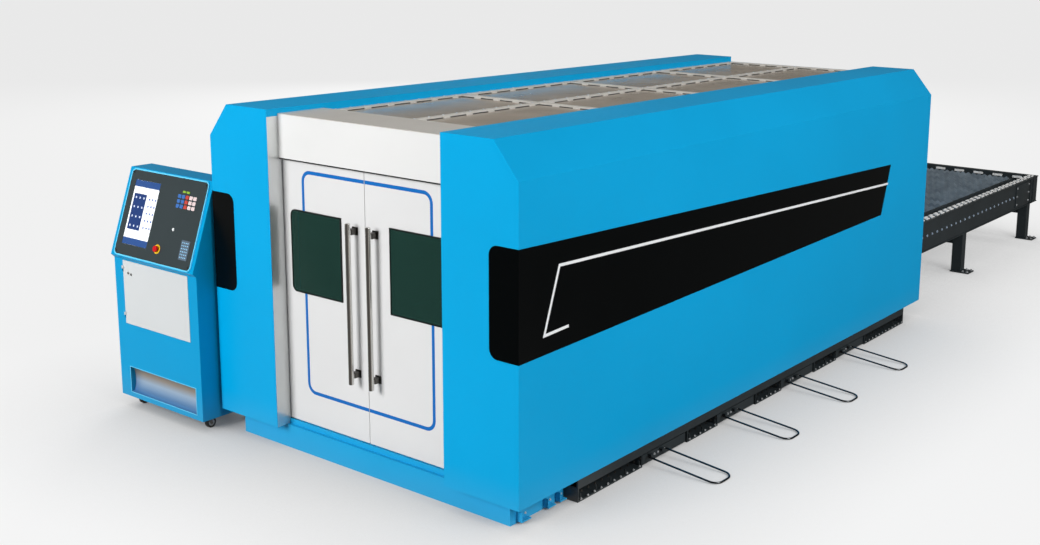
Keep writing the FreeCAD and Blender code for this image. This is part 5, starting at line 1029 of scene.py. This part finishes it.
STOP_RIM = ((17, 0), (20, 0), (20.4, 1.5), (20.4, 4.5), (20, 6), (17, 6))
OUT_OF_PANEL = Matrix.Rotation(QUARTER, 4, "X")


def on_panel(*axes):
    """Places in the row frame of a grid on the panel: across, out and up."""
    return [ON_PANEL @ Vector(place) for place in grid(*axes)]


# The film is satin and hides finger marks; the screen is smooth glass, lit from behind.
dress(film("graphite_panel_film", "#323C3F", 0.34), "console_panel")
dress(film("lit_screen", "#EEF2F6", 0.12, glow=0.35), "console_screen")
bar_blue = film("lit_screen_bar", "#2C4E88", 0.12, glow=0.15)
piece("screen_bars", drawn(block, *BARS), bar_blue, ON_PANEL)
drawing_blue = film("lit_screen_drawing", "#203A70", 0.12, glow=0.15)
piece("screen_drawing", drawn(block, DRAWING), drawing_blue, ON_PANEL)
lamp_grey = film("grey_blue_lamp_field", "#5B6B7B", 0.4)
piece("lamp_field", drawn(block, LAMP_FIELD), lamp_grey, ON_PANEL)
# Moulded silicone keys are matt and soft at the edges; the small lamps glow faintly.
for name, slot, look, code, rough, glow, places, sizes in (
        ("tool_icons", "screen_glass", "tool_icons_print", "#5A6FB0", 0.12, 0.2,
         ((284.0, 318.0, 350.0), SCREEN_FACE - LAYER, spread(216.0, 406.0, 47.5)), ICON),
        ("drawing_marks", "screen_glass", "drawing_marks_print", "#C9D4EC", 0.12, 0.2,
         ((138.0, 180.0, 222.0), SCREEN_FACE - LAYER, spread(216.0, 406.0, 63.3)), ICON),
        ("left_keys", "panel_plastic", "left_keys_silicone", "#3E6FB4", 0.45, 0.0,
         (KEY_X[:2], PANEL_FACE, KEY_Z), KEY),
        ("red_keys", "panel_plastic", "red_keys_silicone", "#C0453C", 0.45, 0.0,
         (KEY_X[2], PANEL_FACE, KEY_Z), KEY),
        ("pale_keys", "panel_plastic", "pale_keys_silicone", "#E3CFCF", 0.45, 0.0,
         (KEY_X[3:], PANEL_FACE, KEY_Z), KEY),
        ("green_keys", "panel_plastic", "green_key_silicone", "#8DB43C", 0.45, 0.0,
         (KEY_X[1:3], PANEL_FACE, 500.0), SMALL_KEY),
        ("indicator_lamps", "panel_plastic", "light_blue_lamps", "#8FC4E4", 0.2, 0.3,
         (spread(732.0, 786.0, 18.0), LAMP_FIELD[0][1], spread(88.0, 182.0, 18.8)), LAMP)):
    length, width, height, corner = sizes
    grow(name, PADS, on_panel(*places), film(look, code, rough, glow=glow), slot, FACE_PANEL,
         Length=length, Width=width, Height=height, Corner=corner)
# The stop button is glossy moulded red on a yellow disc, both plain.
lens_white = film("white_pilot_lens", "#E6E9EA", 0.2)
stop_yellow = film("yellow_stop_plate", "#E8B81E", 0.4)
stop_red = film("red_button_plastic", "#C9141B", 0.25)
dress(stop_red, "stop_button")
lens_cap = drawn(lathe, (PILOT, PILOT_PLACE, OUT_OF_PANEL), sides=28)
piece("pilot_lamp", lens_cap, lens_white, ON_PANEL)
plate = drawn(lathe, (STOP_PLATE, STOP_PLACE, OUT_OF_PANEL), ring=True)
piece("stop_plate", plate, stop_yellow, ON_PANEL)
rim = drawn(lathe, (STOP_RIM, STOP_RIM_PLACE, OUT_OF_PANEL), ring=True)
piece("stop_cap_rim", rim, stop_red, ON_PANEL, "stop")
grow("panel_screws", SCREWS, on_panel((58.0, 832.0), PANEL_FACE, (33.0, 567.0)), dark_zinc, "panel_plastic",
     FACE_PANEL, Radius=4.5, Height=2.5)

# ---- Console door ----
# A folded steel door in a greyer white powder coat, with two black cam locks near its upper left
# corner.

LOCK = ((0, 0), (8.5, 0), (8.5, 2), (7.5, 3), (0, 3))
LOCK_PLACES = ((-2028.0, -2821.0, 956.0), (-1996.0, -2821.0, 951.0))
dress(powder_coat("console_door_white_coat", "#C8CBCC", 0.42), "console_door")
locks = drawn(lathe, *[(LOCK, place, OUT_OF_PANEL) for place in LOCK_PLACES], sides=28)
piece("console_locks", locks, dark_zinc, body="console_leaf")

# ---- Console casters ----
# Two swivel casters in front and two fixed ones behind: pressed black-zinc forks, and solid rubber
# tyres on grey polyamide hubs.

WHEEL_AXES = ((-2100.0, -2708.0), (-1370.0, -2708.0), (-2100.0, -2388.0), (-1370.0, -2388.0))
WHEEL_RADIUS, WHEEL_HALF = 35.0, 12.0
HUB = ((6, -1), (21, -1), (22, 0.4), (20, 0.9), (9, 0.9), (7, 0.4))
dress(dark_zinc, "caster_fork_1", "caster_fork_2", "rear_caster_brackets")
# Tyre rubber is matt and near black; moulded polyamide is half matt.
tyre = film("black_tyre_rubber", "#141515", 0.65)
hub_grey = film("grey_polyamide_hub", "#8A8F92", 0.45)
for number, (x, y) in enumerate(WHEEL_AXES, 1):
    dress(tyre, f"caster_wheel_{number}")
    hubs = [(HUB, (x + side * WHEEL_HALF, y, WHEEL_RADIUS), Matrix.Rotation(side * QUARTER, 4, "Y"))
            for side in (-1, 1)]
    piece(f"caster_hub_{number}", drawn(lathe, *hubs, sides=28, ring=True), hub_grey,
          body=f"wheel_{number}")
